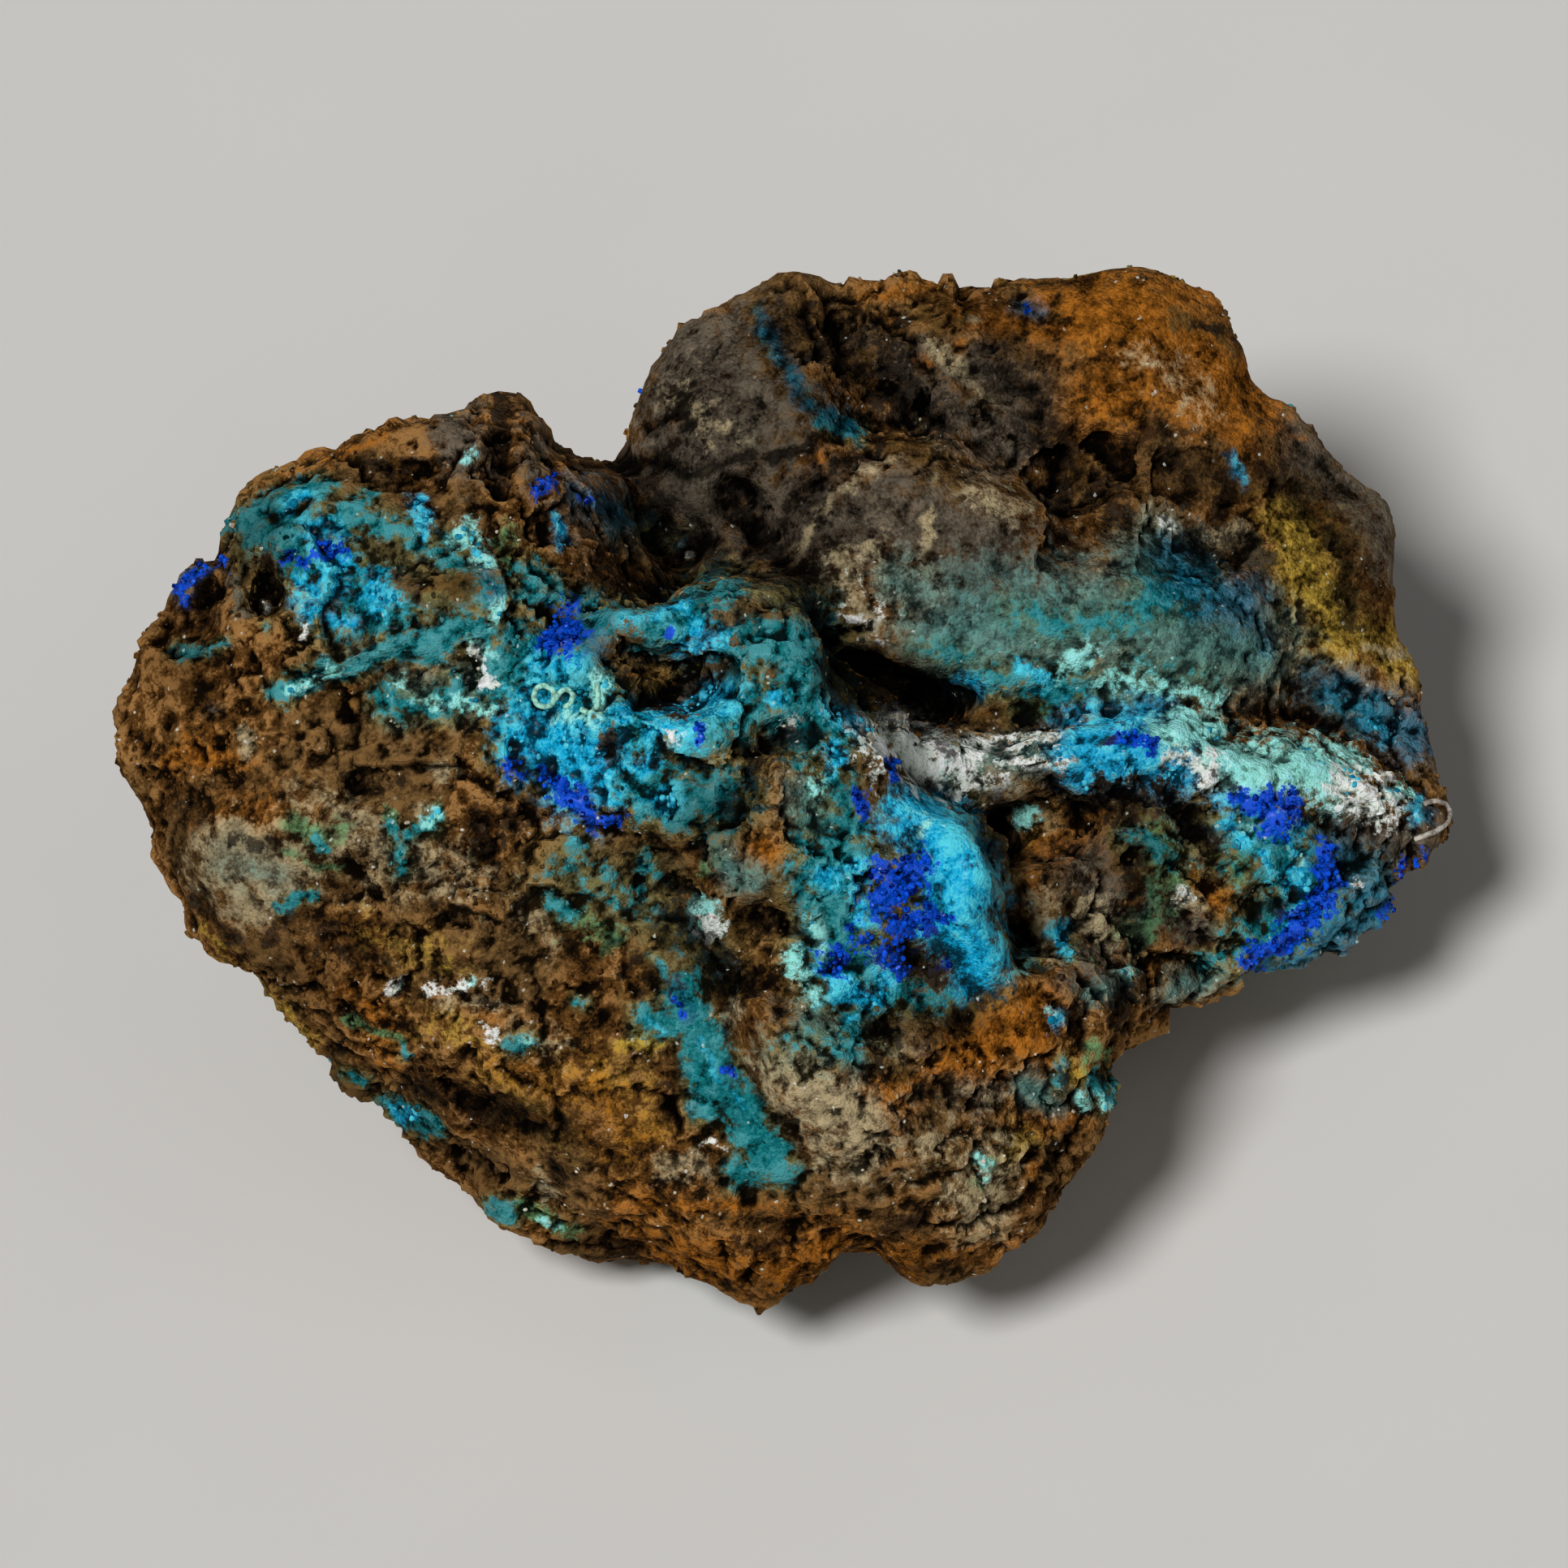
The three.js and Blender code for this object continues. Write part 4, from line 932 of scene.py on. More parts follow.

# The layers on the rock from the lowest up: how soft the edges are, how far noise breaks them up, how much
# of what lies below is hidden, the colour's share in dents (painted shade) and on tips (partly a painted
# highlight), and the white of a painted glint added on tips.
DIM, BRIGHT = 0.14, 2.2
Layer = namedtuple("Layer", "soft broken hides dim bright glint", defaults=(DIM, BRIGHT, 0.0))
LAYERS = {
    "grey": Layer(0.35, 0.7, 0.9),
    "ochre": Layer(0.45, 0.7, 0.9),
    "rust": Layer(0.45, 0.7, 0.9),
    "pale": Layer(0.3, 0.7, 0.9, 0.3, 1.6),
    "wash": Layer(0.5, 0.3, 0.85, 0.3, 1.7),
    "green": Layer(0.3, 0.7, 0.8),
    "teal": Layer(0.18, 0.7, 0.95, 0.12, 1.5, 0.06),
    "sky": Layer(0.35, 0.6, 0.92, 0.16, 1.45, 0.1),
    "navy": Layer(0.4, 0.4, 0.85, 0.15, 1.8, 0.04),
    "earth": Layer(0.2, 1.0, 0.95, 0.1, 2.2),
    "mint": Layer(0.25, 0.7, 0.92, 0.3, 1.2),
    "white": Layer(0.2, 0.9, 0.95, 0.3, 1.2),
    "azurite": Layer(0.12, 1.1, 1.0, 0.08, 1.4, 0.02),
    "dark": Layer(0.25, 1.2, 0.88, 0.1, 3.0),
}

# Sockets of a node that mixes two colours.
MIX_SHARE, MIX_UNDER, MIX_OVER, MIX_RESULT = 0, 6, 7, 2


def paint(red, green, blue):
    """A colour given as display values from 0 to 255, as the linear values that a shader takes."""
    shares = [value / 255 for value in (red, green, blue)]
    return tuple(s / 12.92 if s <= 0.04045 else ((s + 0.055) / 1.055) ** 2.4 for s in shares)


def colour_choice(name, description, display):
    """A colour that a user can change."""
    return FloatVectorProperty(
        name=name,
        description=description,
        subtype="COLOR",
        size=3,
        min=0.0,
        max=1.0,
        default=paint(*display),
    )


def length_choice(name, description, millimetres):
    """A length that a user can change."""
    return FloatProperty(
        name=name, description=description, unit="LENGTH", min=0.0, default=millimetres * MM
    )


def strength_choice(name, description, strength):
    """The strength of a light that a user can change."""
    return FloatProperty(name=name, description=description, min=0.0, default=strength)


def count_choice(name, description, count):
    """A number of grains that a user can change."""
    return IntProperty(name=name, description=description, min=1, default=count)


class SPECIMEN_PG_shape(bpy.types.PropertyGroup):
    """Sizes of the stone's relief"""

    skin: length_choice("Skin", "Length of a face of the skin before the show face is made finer", 0.68)
    unevenness: length_choice("Unevenness", "Height of the broad bumps", 0.7)
    chips: length_choice("Chips", "Height of the broken chips", 0.95)
    grains: length_choice("Grains", "Height of the sharp grains", 0.08)
    grit: length_choice("Grit", "Height of the fine grit", 0.24)
    pits: length_choice("Pits", "Depth of the small pits", 0.75)
    crust: length_choice("Crust", "Thickness of the blue and green crusts", 0.3)


class SPECIMEN_PG_colours(bpy.types.PropertyGroup):
    """Colours of the rock and its minerals"""

    # The rock shade is also the tint of the painted shade in dents, hollows and places in shadow.
    shade: colour_choice("Rock shade", "Darkest rock", (28, 18, 8))
    rock: colour_choice("Rock", "Iron-stained rock", (92, 60, 25))
    light: colour_choice("Light rock", "Paler grains of the rock", (168, 122, 70))
    olive: colour_choice("Olive rock", "Rock with less iron", (92, 68, 38))
    rust: colour_choice("Rust", "Iron rust", (134, 80, 20))
    ochre: colour_choice("Ochre", "Yellow iron ochre", (148, 122, 46))
    grey: colour_choice("Grey rock", "Unstained rock", (77, 71, 61))
    pale: colour_choice("Pale rock", "Pale rock and quartz", (160, 144, 110))
    earth: colour_choice("Earth", "Brown earth in the cavities", (82, 60, 28))
    # The dark colour is black oxide, and also painted shade where the dark layer lies in shadowed places.
    dark: colour_choice("Dark", "Black oxide in the hollows", (20, 15, 11))
    wash: colour_choice("Wash", "Thin green coating", (81, 132, 127))
    green: colour_choice("Malachite", "Pale malachite green", (77, 120, 80))
    teal: colour_choice("Chrysocolla", "Deep chrysocolla", (0, 123, 130))
    sky: colour_choice("Sky chrysocolla", "Pale blue chrysocolla", (16, 186, 240))
    navy: colour_choice("Blue film", "Dull dark blue film", (18, 90, 114))
    mint: colour_choice("Mint crust", "Palest green crust", (160, 246, 232))
    white: colour_choice("Vein", "White vein", (238, 247, 234))
    azurite: colour_choice("Azurite", "Azurite blue", (0, 72, 198))


class SPECIMEN_PG_grains(bpy.types.PropertyGroup):
    """Sizes and colours of the grains that stand on the stone"""

    azurite_size: length_choice("Azurite crystal", "Length of a middling azurite crystal", 0.42)
    quartz_size: length_choice("Quartz grain", "Length of a middling quartz grain", 0.3)
    bead_size: length_choice("Chrysocolla bead", "Width of a middling bead", 0.4)
    crumb_size: length_choice("Crumb", "Length of a middling crumb of the rough rock", 0.42)
    azurite_count: count_choice("Azurite crystals", "Most azurite crystals", 420)
    quartz_count: count_choice("Quartz grains", "Most quartz grains", 420)
    bead_count: count_choice("Chrysocolla beads", "Most chrysocolla beads", 260)
    crumbs: count_choice("Crumbs", "Number of crumbs on the rough rock", 5200)
    thread: length_choice("Mint thread", "Thickness of the raised mint threads", 0.36)
    rim: length_choice("Pale rim", "Thickness of the pale rim at the right tip", 0.34)
    deep_blue: colour_choice("Azurite shade", "Darkest azurite crystal", (0, 6, 84))
    bright_blue: colour_choice("Azurite light", "Brightest azurite crystal", (14, 92, 236))
    quartz: colour_choice("Quartz", "Clearest quartz grain", (226, 222, 208))
    stained: colour_choice("Stained quartz", "Quartz grain with a brown stain", (150, 124, 84))
    deep_bead: colour_choice("Bead shade", "Darkest bead", (0, 116, 150))
    bright_bead: colour_choice("Bead light", "Brightest bead", (84, 210, 236))
    thread_colour: colour_choice("Thread colour", "Pale mint", (172, 238, 216))
    rim_colour: colour_choice("Rim colour", "Pale grey", (206, 196, 184))


class SPECIMEN_PG_stage(bpy.types.PropertyGroup):
    """Floor and light"""

    floor: colour_choice("Floor", "Colour of the floor", (226, 224, 220))
    floor_radius: length_choice("Floor radius", "Radius of the flat floor", 30000.0)
    key: strength_choice("Key light", "Strength of the main light", 2.45)
    fill: strength_choice("Fill light", "Strength of the softer light", 0.2)
    sky: strength_choice("Ambient light", "Strength of the light from all around", 0.08)
    backdrop: strength_choice("Backdrop", "Brightness of the air behind the floor", 0.56)


class Wire:
    """A shader socket that takes part in arithmetic."""

    def __init__(self, recipe, socket):
        self.recipe = recipe
        self.socket = socket

    def combine(self, operation, first, second):
        return self.recipe.node("ShaderNodeMath", {"operation": operation}, {0: first, 1: second})

    def __add__(self, other):
        return self.combine("ADD", self, other)

    def __radd__(self, other):
        return self.combine("ADD", other, self)

    def __sub__(self, other):
        return self.combine("SUBTRACT", self, other)

    def __rsub__(self, other):
        return self.combine("SUBTRACT", other, self)

    def __mul__(self, other):
        return self.combine("MULTIPLY", self, other)

    def __rmul__(self, other):
        return self.combine("MULTIPLY", other, self)


class Recipe:
    """A material and the nodes that it is made of."""

    def __init__(self, name):
        self.material = bpy.data.materials.new(name)
        self.material.use_nodes = True
        self.tree = self.material.node_tree
        self.shader = self.tree.nodes["Principled BSDF"]
        self.place = self.node("ShaderNodeTexCoord", output="Object")

    def node(self, kind, settings=None, inputs=None, output=0):
        made = self.tree.nodes.new(kind)
        for name, value in (settings or {}).items():
            if name == "stops":
                ramp = made.color_ramp
                while len(ramp.elements) < len(value):
                    ramp.elements.new(1.0)
                for element, (position, colour) in zip(ramp.elements, value):
                    element.position = position
                    element.color = (*colour, 1.0)
            else:
                setattr(made, name, value)
        for key, value in (inputs or {}).items():
            self.feed(made.inputs[key], value)
        return Wire(self, made.outputs[output])

    def feed(self, socket, value):
        if isinstance(value, Wire):
            self.tree.links.new(value.socket, socket)
        elif socket.type == "RGBA":
            socket.default_value = (*value, 1.0)
        else:
            socket.default_value = value

    def finish(self, **sockets):
        """Sets the shader's own sockets, named with underscores for spaces."""
        for name, value in sockets.items():
            self.feed(self.shader.inputs[name.replace("_", " ")], value)
        return self.material

    def speckle(self, size, detail, rough=0.55):
        """Noise whose lumps are that many mm across."""
        scale = 1 / (size * MM)
        return self.node(
            "ShaderNodeTexNoise",
            inputs={"Vector": self.place, "Scale": scale, "Detail": detail, "Roughness": rough},
        )

    def cells(self, size):
        """Grains that many mm across: the distance from a grain's middle, and the grain's own chance."""
        middle = self.node("ShaderNodeTexVoronoi", inputs={"Vector": self.place, "Scale": 1 / (size * MM)})
        return middle, Wire(self, middle.socket.node.outputs["Color"])

    def field(self, name):
        """A mineral's share, kept on the mesh."""
        return self.node("ShaderNodeAttribute", {"attribute_name": name}, output="Fac")

    def step(self, value, low, high, to_low=0.0, to_high=1.0):
        """A soft step from one value to the other."""
        return self.node(
            "ShaderNodeMapRange",
            {"interpolation_type": "SMOOTHSTEP"},
            {"Value": value, "From Min": low, "From Max": high, "To Min": to_low, "To Max": to_high},
        )

    def over(self, under, colour, share, blend="MIX"):
        """One colour laid over another."""
        return self.node(
            "ShaderNodeMix",
            {"data_type": "RGBA", "blend_type": blend},
            {MIX_SHARE: share, MIX_UNDER: under, MIX_OVER: colour},
            output=MIX_RESULT,
        )

    def ramp(self, value, *stops):
        """A run of colours."""
        return self.node("ShaderNodeValToRGB", {"stops": stops}, {"Fac": value}, output="Color")


def choose(piece):
    """Leaves only this piece selected and active."""
    bpy.ops.object.select_all(action="DESELECT")
    piece.select_set(True)
    bpy.context.view_layer.objects.active = piece


@contextmanager
def editing(action=None):
    """Opens the active mesh for editing, with all or none of it selected if asked, and closes it again."""
    bpy.ops.object.mode_set(mode="EDIT")
    if action:
        bpy.ops.mesh.select_all(action=action)
    yield
    bpy.ops.object.mode_set(mode="OBJECT")


@contextmanager
def shaping(add, **sizes):
    """Adds a simple mesh, with all of it open for editing."""
    bpy.ops.object.select_all(action="DESELECT")
    add(**sizes)
    with editing("SELECT"):
        yield bpy.context.object


def select_none(points, faces):
    """Leaves nothing of the active mesh selected, and sets what a selection is made of."""
    bpy.context.tool_settings.mesh_select_mode = (points, False, faces)
    with editing("DESELECT"):
        pass


def smooth(values, low, high):
    """A soft step from 0 to 1."""
    share = np.clip((values - low) / (high - low), 0.0, 1.0)
    return share * share * (3.0 - 2.0 * share)


def picture_centre():
    """The point of the show face that stands in the middle of the picture, in mm."""
    node = frame["nodes"][STONE_NODE]
    corners = np.array([vertex.co for vertex in node.data.vertices]) / MM
    middle = np.zeros(3)
    for direction in (ACROSS, UP_FACE, OUT_OF_FACE):
        reach = corners @ direction
        middle += direction * (reach.min() + reach.max()) / 2
    return middle - FRAMING[0] * ACROSS - FRAMING[1] * UP_FACE


PICTURE_CENTRE = picture_centre()


def picture_place(points):
    """The picture pixel that each point shows at."""
    offset = points - PICTURE_CENTRE
    scale = CAMERA_DISTANCE / (CAMERA_DISTANCE - offset @ OUT_OF_FACE) / PIXEL
    return PICTURE_MIDDLE + offset @ ACROSS * scale, PICTURE_MIDDLE - offset @ UP_FACE * scale


def off_line(px, py, path):
    """How far each place is from a line, in pixels."""
    nearest = np.hypot(px - path[0][0], py - path[0][1])
    for (ax, ay), (bx, by) in zip(path, path[1:]):
        dx, dy = bx - ax, by - ay
        along = np.clip(((px - ax) * dx + (py - ay) * dy) / (dx * dx + dy * dy), 0.0, 1.0)
        nearest = np.minimum(nearest, np.hypot(px - ax - along * dx, py - ay - along * dy))
    return nearest


def brushed(px, py, strokes):
    """The strongest of the strokes at each place: half strength at a stroke's half width."""
    share = np.full(len(px), NOT_THERE)
    for half_width, strength, *path in strokes.values():
        share = np.maximum(share, strength - 0.5 * off_line(px, py, path) / half_width)
    return share


def flank(px, py, half_width, path):
    """How much of its depth a hollow has at each place: all of it on its line, none well away from it."""
    return smooth(off_line(px, py, path) / half_width, *FLANK)


def pressed(px, py, strokes):
    """The deepest of the hollows, or the highest of the ridges, at each place, in mm."""
    depth = np.zeros(len(px))
    for half_width, millimetres, *path in strokes.values():
        depth = np.maximum(depth, millimetres * flank(px, py, half_width, path))
    return depth


def scattered(points, size, seed):
    """The points in units of a pattern's size, moved to a place of their own in its noise."""
    return (points @ NOISE_TURN / size + SEED_STEP * seed).tolist()


def crumple(points, size, seed, octaves=3):
    """Uneven heights from about -1 to 1, in lumps of that size."""
    places = scattered(points, size, seed)
    return np.array([noise.fractal(p, LUMP_FADE, LUMP_RATIO, octaves) for p in places])


def chips(points, size, seed):
    """Heights of flat broken chips of that size, each tilted its own way, from about -1 to 1."""
    heights = []
    for p in scattered(points, size, seed):
        near = noise.voronoi(p)[1][0]
        tilt = noise.cell_vector(near * TILT_KEY) * 2.0 - Vector((1.0, 1.0, 1.0))
        step = noise.cell(near * STEP_KEY) * CHIP_STEP
        heights.append(tilt.dot(Vector(p) - near) * CHIP_TILT + step - CHIP_STEP / 2)
    return np.array(heights)


def pitted(points, spacing, seed, share):
    """Round pits, 0 at the surface and 1 at the bottom: a share of the places that far apart has one."""
    depths = []
    for p in scattered(points, spacing, seed):
        distances, places = noise.voronoi(p)
        chance = noise.cell(places[0] * PIT_KEY)
        radius = PIT_RADIUS + PIT_RADIUS_MORE * noise.cell(places[0] * RADIUS_KEY)
        depths.append(max(0.0, 1.0 - (distances[0] / radius) ** 2) if chance < share else 0.0)
    return np.array(depths)


def beads(points, size, seed):
    """Close-set round bumps of that size, from 0 to 1."""
    nearest = [noise.voronoi(p)[0][0] for p in scattered(points, size, seed)]
    return np.array([max(0.0, 1.0 - 1.5 * distance**2) for distance in nearest])


class Skin:
    """A mesh's points and normals as arrays, in mm."""

    def __init__(self, piece):
        self.mesh = piece.data
        count = len(self.mesh.vertices)
        self.points = np.empty(count * 3)
        self.mesh.vertices.foreach_get("co", self.points)
        self.points = self.points.reshape(-1, 3) / MM
        self.read_normals()

    def read_normals(self):
        normals = np.empty(len(self.points) * 3, np.float32)
        self.mesh.vertex_normals.foreach_get("vector", normals)
        self.normals = normals.reshape(-1, 3).astype(float)

    def write(self):
        self.mesh.vertices.foreach_set("co", (self.points * MM).ravel())
        self.mesh.update()
        self.read_normals()

    def keep(self, name, values):
        layer = self.mesh.attributes.new(name, "FLOAT", "POINT")
        layer.data.foreach_set("value", values.astype(np.float32))

    def eased(self, rounds):
        """The points after that many rounds of averaging with their neighbours."""
        ends = np.empty(len(self.mesh.edges) * 2, np.int32)
        self.mesh.edges.foreach_get("vertices", ends)
        first, second = np.concatenate((ends[0::2], ends[1::2])), np.concatenate((ends[1::2], ends[0::2]))
        count = len(self.points)
        neighbours = np.maximum(np.bincount(first, minlength=count), 1)
        points = self.points.copy()
        for _ in range(rounds):
            for axis in range(3):
                mean = np.bincount(first, weights=points[second, axis], minlength=count) / neighbours
                points[:, axis] = 0.5 * points[:, axis] + 0.5 * mean
        return points

    def facing(self):
        return self.normals @ OUT_OF_FACE


def warped(points):
    """Picture places with ragged edges."""
    px, py = picture_place(points)
    for size, reach, seed in RAGGED_EDGES.values():
        px = px + reach * crumple(points, size, seed, 2)
        py = py + reach * crumple(points, size, seed + 1, 2)
    return px, py


def even_skin(piece, length):
    """Gives the piece an even skin of faces of that length, without the loose specks that leaves."""
    choose(piece)
    remesh = piece.modifiers.new("even skin", "REMESH")
    remesh.mode = "VOXEL"
    remesh.voxel_size = length
    bpy.ops.object.modifier_apply(modifier=remesh.name)
    select_none(points=True, faces=False)
    max(piece.data.vertices, key=lambda vertex: vertex.co.z).select = True
    with editing():
        bpy.ops.mesh.select_linked()
        bpy.ops.mesh.select_all(action="INVERT")
        bpy.ops.mesh.delete(type="VERT")


def undercut(points, facing):
    """Draws the slope below the rim in, so that the ground meets the rim as the viewer sees it."""
    px, py = picture_place(points)
    nearest = np.full(len(points), np.inf)
    away = np.zeros((len(points), 2))
    along_rim = np.zeros(len(points))
    outer = np.zeros(len(points), bool)
    length = 0.0
    for (ax, ay), (bx, by) in zip(RIM, RIM[1:]):
        dx, dy = bx - ax, by - ay
        share = np.clip(((px - ax) * dx + (py - ay) * dy) / (dx * dx + dy * dy), 0.0, 1.0)
        offset = np.stack((px - ax - share * dx, py - ay - share * dy), axis=1)
        distance = np.hypot(*offset.T)
        closer = distance < nearest
        nearest[closer] = distance[closer]
        away[closer] = offset[closer] / np.maximum(distance[closer], 1e-6)[:, None]
        along_rim[closer] = length + share[closer] * math.hypot(dx, dy)
        outer[closer] = (dx * (py - ay) - dy * (px - ax) < 0.0)[closer]
        length += math.hypot(dx, dy)
    kept = np.interp(nearest, (0.0, SLOPE_WIDTH, SLOPE_REACH), (0.0, SLOPE_LEFT * SLOPE_WIDTH, SLOPE_REACH))
    kept = np.where(nearest > SLOPE_REACH, nearest, kept)
    ends = smooth(along_rim, 0.0, RIM_FADE) * smooth(length - along_rim, 0.0, RIM_FADE)
    pull = (nearest - kept) * PIXEL * ends * outer * smooth(facing, -0.5, -0.2)
    return points - pull[:, None] * (away[:, :1] * ACROSS - away[:, 1:] * UP_FACE)


def rough_out(piece):
    """Presses the hollows and ridges of the show face into the plain solid."""
    skin = Skin(piece)
    skin.points = undercut(skin.points, skin.facing())
    skin.write()
    px, py = warped(skin.points)
    shown = smooth(skin.facing(), 0.0, 0.35)
    uneven = 0.55 + 0.9 * smooth(crumple(skin.points, *PATTERNS["hollow walls"]), -0.5, 0.5)
    rise = pressed(px, py, RIDGES) - pressed(px, py, HOLLOWS) * uneven
    skin.points += np.outer(rise * shown, OUT_OF_FACE)
    skin.points[:, 2] = np.maximum(skin.points[:, 2], 0.0)
    skin.write()


def finer_show_face(piece):
    """Halves the faces that look towards the viewer."""
    choose(piece)
    directions = np.empty(len(piece.data.polygons) * 3, np.float32)
    piece.data.polygons.foreach_get("normal", directions)
    shown = directions.reshape(-1, 3) @ OUT_OF_FACE > FINE_FACING
    select_none(points=False, faces=True)
    piece.data.polygons.foreach_set("select", shown)
    with editing():
        bpy.ops.mesh.subdivide(number_cuts=1)
        bpy.ops.mesh.select_all(action="SELECT")
        bpy.ops.mesh.vertices_smooth(factor=0.5, repeat=10)


def weather(piece, shape):
    """Breaks the skin up into bumps, chips, grains, pits and grit, and thickens the crusts."""
    skin = Skin(piece)
    points = skin.points
    px, py = warped(points)
    shown = smooth(skin.facing(), -0.1, 0.15)
    crusted = np.zeros(len(points))
    for mineral in ("teal", "sky", "mint", "white", "azurite"):
        crusted = np.maximum(crusted, brushed(px, py, MINERALS[mineral]))
    ragged = 0.35 * crumple(points, *PATTERNS["crust edges"], octaves=2)
    crusted = smooth(crusted + ragged, 0.4, 0.65) * shown
    rough = 1.0 - 0.9 * np.clip(brushed(px, py, SMOOTH_PLACES), 0.0, 1.0) * shown
    bent = points + BEND_REACH * np.stack([crumple(points, *PATTERNS[bend]) for bend in BENDS], axis=1)
    broken = rough * (1.0 - 0.6 * crusted)
    rise = shape.unevenness / MM * crumple(points, *PATTERNS["broad bumps"])
    shattered = 0.35 + 0.65 * smooth(crumple(points, *PATTERNS["shattered places"]), -0.4, 0.4)
    large, small = chips(bent, *PATTERNS["large chips"]), chips(bent, *PATTERNS["small chips"])
    rise += rough * shape.chips / MM * (0.6 * large + 0.4 * shattered * small)
    rise += broken * shape.grains / MM * chips(points, *PATTERNS["grains"])
    rise += broken * shape.grit / MM * crumple(points, *PATTERNS["grit"], octaves=4)
    vuggy = smooth(crumple(points, *PATTERNS["pitted places"]), -0.25, 0.35)
    large_pits = pitted(bent, *PATTERNS["large pits"], share=0.4)
    small_pits = pitted(bent, *PATTERNS["small pits"], share=0.35)
    rise -= broken * vuggy * shape.pits / MM * np.maximum(large_pits, 0.6 * small_pits)
    rise += shape.crust / MM * crusted * (0.4 + 0.8 * rough * beads(points, *PATTERNS["crust beads"]))
    edge = smooth(skin.facing(), 0.75, 0.45)
    for half_width, millimetres, *path in OUTLINE.values():
        rise += edge * millimetres * flank(px, py, half_width, path)
    standing = smooth(points[:, 2], 0.2, 2.5)
    under = np.maximum(0.0, 0.5 + 0.5 * crumple(points, *PATTERNS["underside"])) * 0.7 * (1.0 - standing)
    skin.points = points + skin.normals * (rise * standing)[:, None]
    skin.points[:, 2] = np.maximum(skin.points[:, 2], 0.0) + under * (skin.normals[:, 2] < -0.5)
    skin.write()


def mineralise(piece):
    """Keeps each mineral's share, the painted shade of the places in shadow, and how hollow the surface is,
    on the mesh.
    """
    skin = Skin(piece)
    px, py = warped(skin.points)
    shown = smooth(skin.facing(), -0.12, 0.12)
    for mineral, strokes in MINERALS.items():
        usual, spread, *pattern = HIDDEN_PATCHES[mineral]
        hidden = np.clip(usual + spread * crumple(skin.points, *pattern), NOT_THERE, 1.0)
        skin.keep(mineral, shown * brushed(px, py, strokes) + (1.0 - shown) * hidden)
    broad, fine = (crumple(skin.points, *PATTERNS[name]) for name in ("broad tone", "fine tone"))
    skin.keep("tone", 0.6 * broad + 0.6 * fine)
    skin.keep("olive", crumple(skin.points, *PATTERNS["olive"]))
    skin.keep("gloom", shown * np.clip(brushed(px, py, PAINTED_SHADE_PLACES), 0.0, 1.0))
    coarse = 1.0 + FAR_SIDE_MORE * smooth(skin.facing(), 0.3, 0.1)
    for name, (rounds, depth) in HOLLOWNESS.items():
        sunk = ((skin.eased(rounds) - skin.points) * skin.normals).sum(1)
        skin.keep(name, np.clip(0.5 + 0.5 * sunk / (depth * coarse), 0.0, 1.0))


def stone_finish(colours):
    """Brown rock under rust, ochre, black oxide and blue and green crusts, with shade painted into its
    dents, hollows and shadowed places, and painted highlights and glints on its tips.
    """
    r = Recipe("iron stained copper ore")
    ragged = r.step(r.speckle(size=1.1, detail=5.0, rough=0.75), 0.3, 0.7)
    grain, chance = r.cells(0.42)
    grit, luck = r.cells(0.17)
    dent = r.field("dent")
    # The tone differs at random, and it is lowered in dents, which paints shade into them and leaves the
    # tips lighter.
    tone = 0.37 + 0.45 * r.field("tone") + 0.5 * ragged + 0.45 * chance + 0.5 * luck - 1.13 * dent

    def patch(name, soft, broken):
        share = r.field(name) + broken * (ragged - 0.5) + 0.3 * (chance - 0.5)
        return r.step(share, 0.5 - soft, 0.5 + soft)

    # Painted shade and painted highlight: each colour runs from a dimmed copy where the tone is low, mostly
    # in dents, to a brighter copy with white glint where the tone is high, on tips.
    def toned(name, dim=DIM, bright=BRIGHT, glint=0.0):
        value = getattr(colours, name)
        dents = tuple(c * dim for c in value)
        tips = tuple(min(1.0, c * bright + glint) for c in value)
        return r.ramp(tone, (0.1, dents), (0.52, tuple(value)), (1.0, tips))

    rock = (0.1, colours.shade), (0.48, colours.rock), (0.58, colours.rock), (1.0, colours.light)
    olive = r.step(r.field("olive") + 0.3 * ragged, -0.1, 0.5)
    colour = r.over(r.ramp(tone, *rock), toned("olive"), olive)
    shares = {}
    for name, layer in LAYERS.items():
        if name == "green":
            # Green also stains the rock around the teal.
            colour = r.over(colour, toned("green"), r.step(r.field("teal"), -0.1, 0.6) * 0.3)
        shares[name] = patch(name, layer.soft, layer.broken)
        tint = toned(name, layer.dim, layer.bright, layer.glint)
        colour = r.over(colour, tint, shares[name] * layer.hides)
    # Painted shade, with some dirt and black oxide: the colour is darkened in dents and in hollows.
    sunk = r.step(dent, 0.55, 0.95)
    hollow = r.step(r.field("hollow"), 0.5, 0.95)
    colour = r.over(colour, colours.shade, sunk * 0.65, "MULTIPLY")
    colour = r.over(colour, colours.shade, hollow * 0.6, "MULTIPLY")
    # Painted shade: the places that lie in shadow are darkened by the rock shade.
    colour = r.over(colour, colours.shade, r.field("gloom") * 0.68, "MULTIPLY")
    dull = patch("grey", soft=0.1, broken=0.7)
    # Painted glints: white specks on single grains stand for their sparkle; the same specks also get a real
    # glossy coat.
    painted_glint = r.step(luck, 0.93, 0.95) * r.step(tone, 0.45, 0.6) * (1.0 - 0.9 * dull)
    colour = r.over(colour, colours.white, painted_glint * 0.5)
    crust = r.step(shares["teal"] + shares["sky"] + shares["mint"], 0.1, 0.9)
    height = 1.0 - 0.6 * grain - 0.4 * grit + 0.5 * ragged
    bump = r.node(
        "ShaderNodeBump",
        inputs={"Strength": 0.9, "Distance": 0.2 * MM, "Height": height},
        output="Normal",
    )
    return r.finish(
        Base_Color=colour,
        Roughness=0.85 - 0.25 * crust,
        Specular_IOR_Level=0.02,
        Coat_Weight=0.06 * crust + 0.05 * shares["azurite"] + 0.5 * painted_glint,
        Coat_Roughness=0.25,
        Normal=bump,
    )


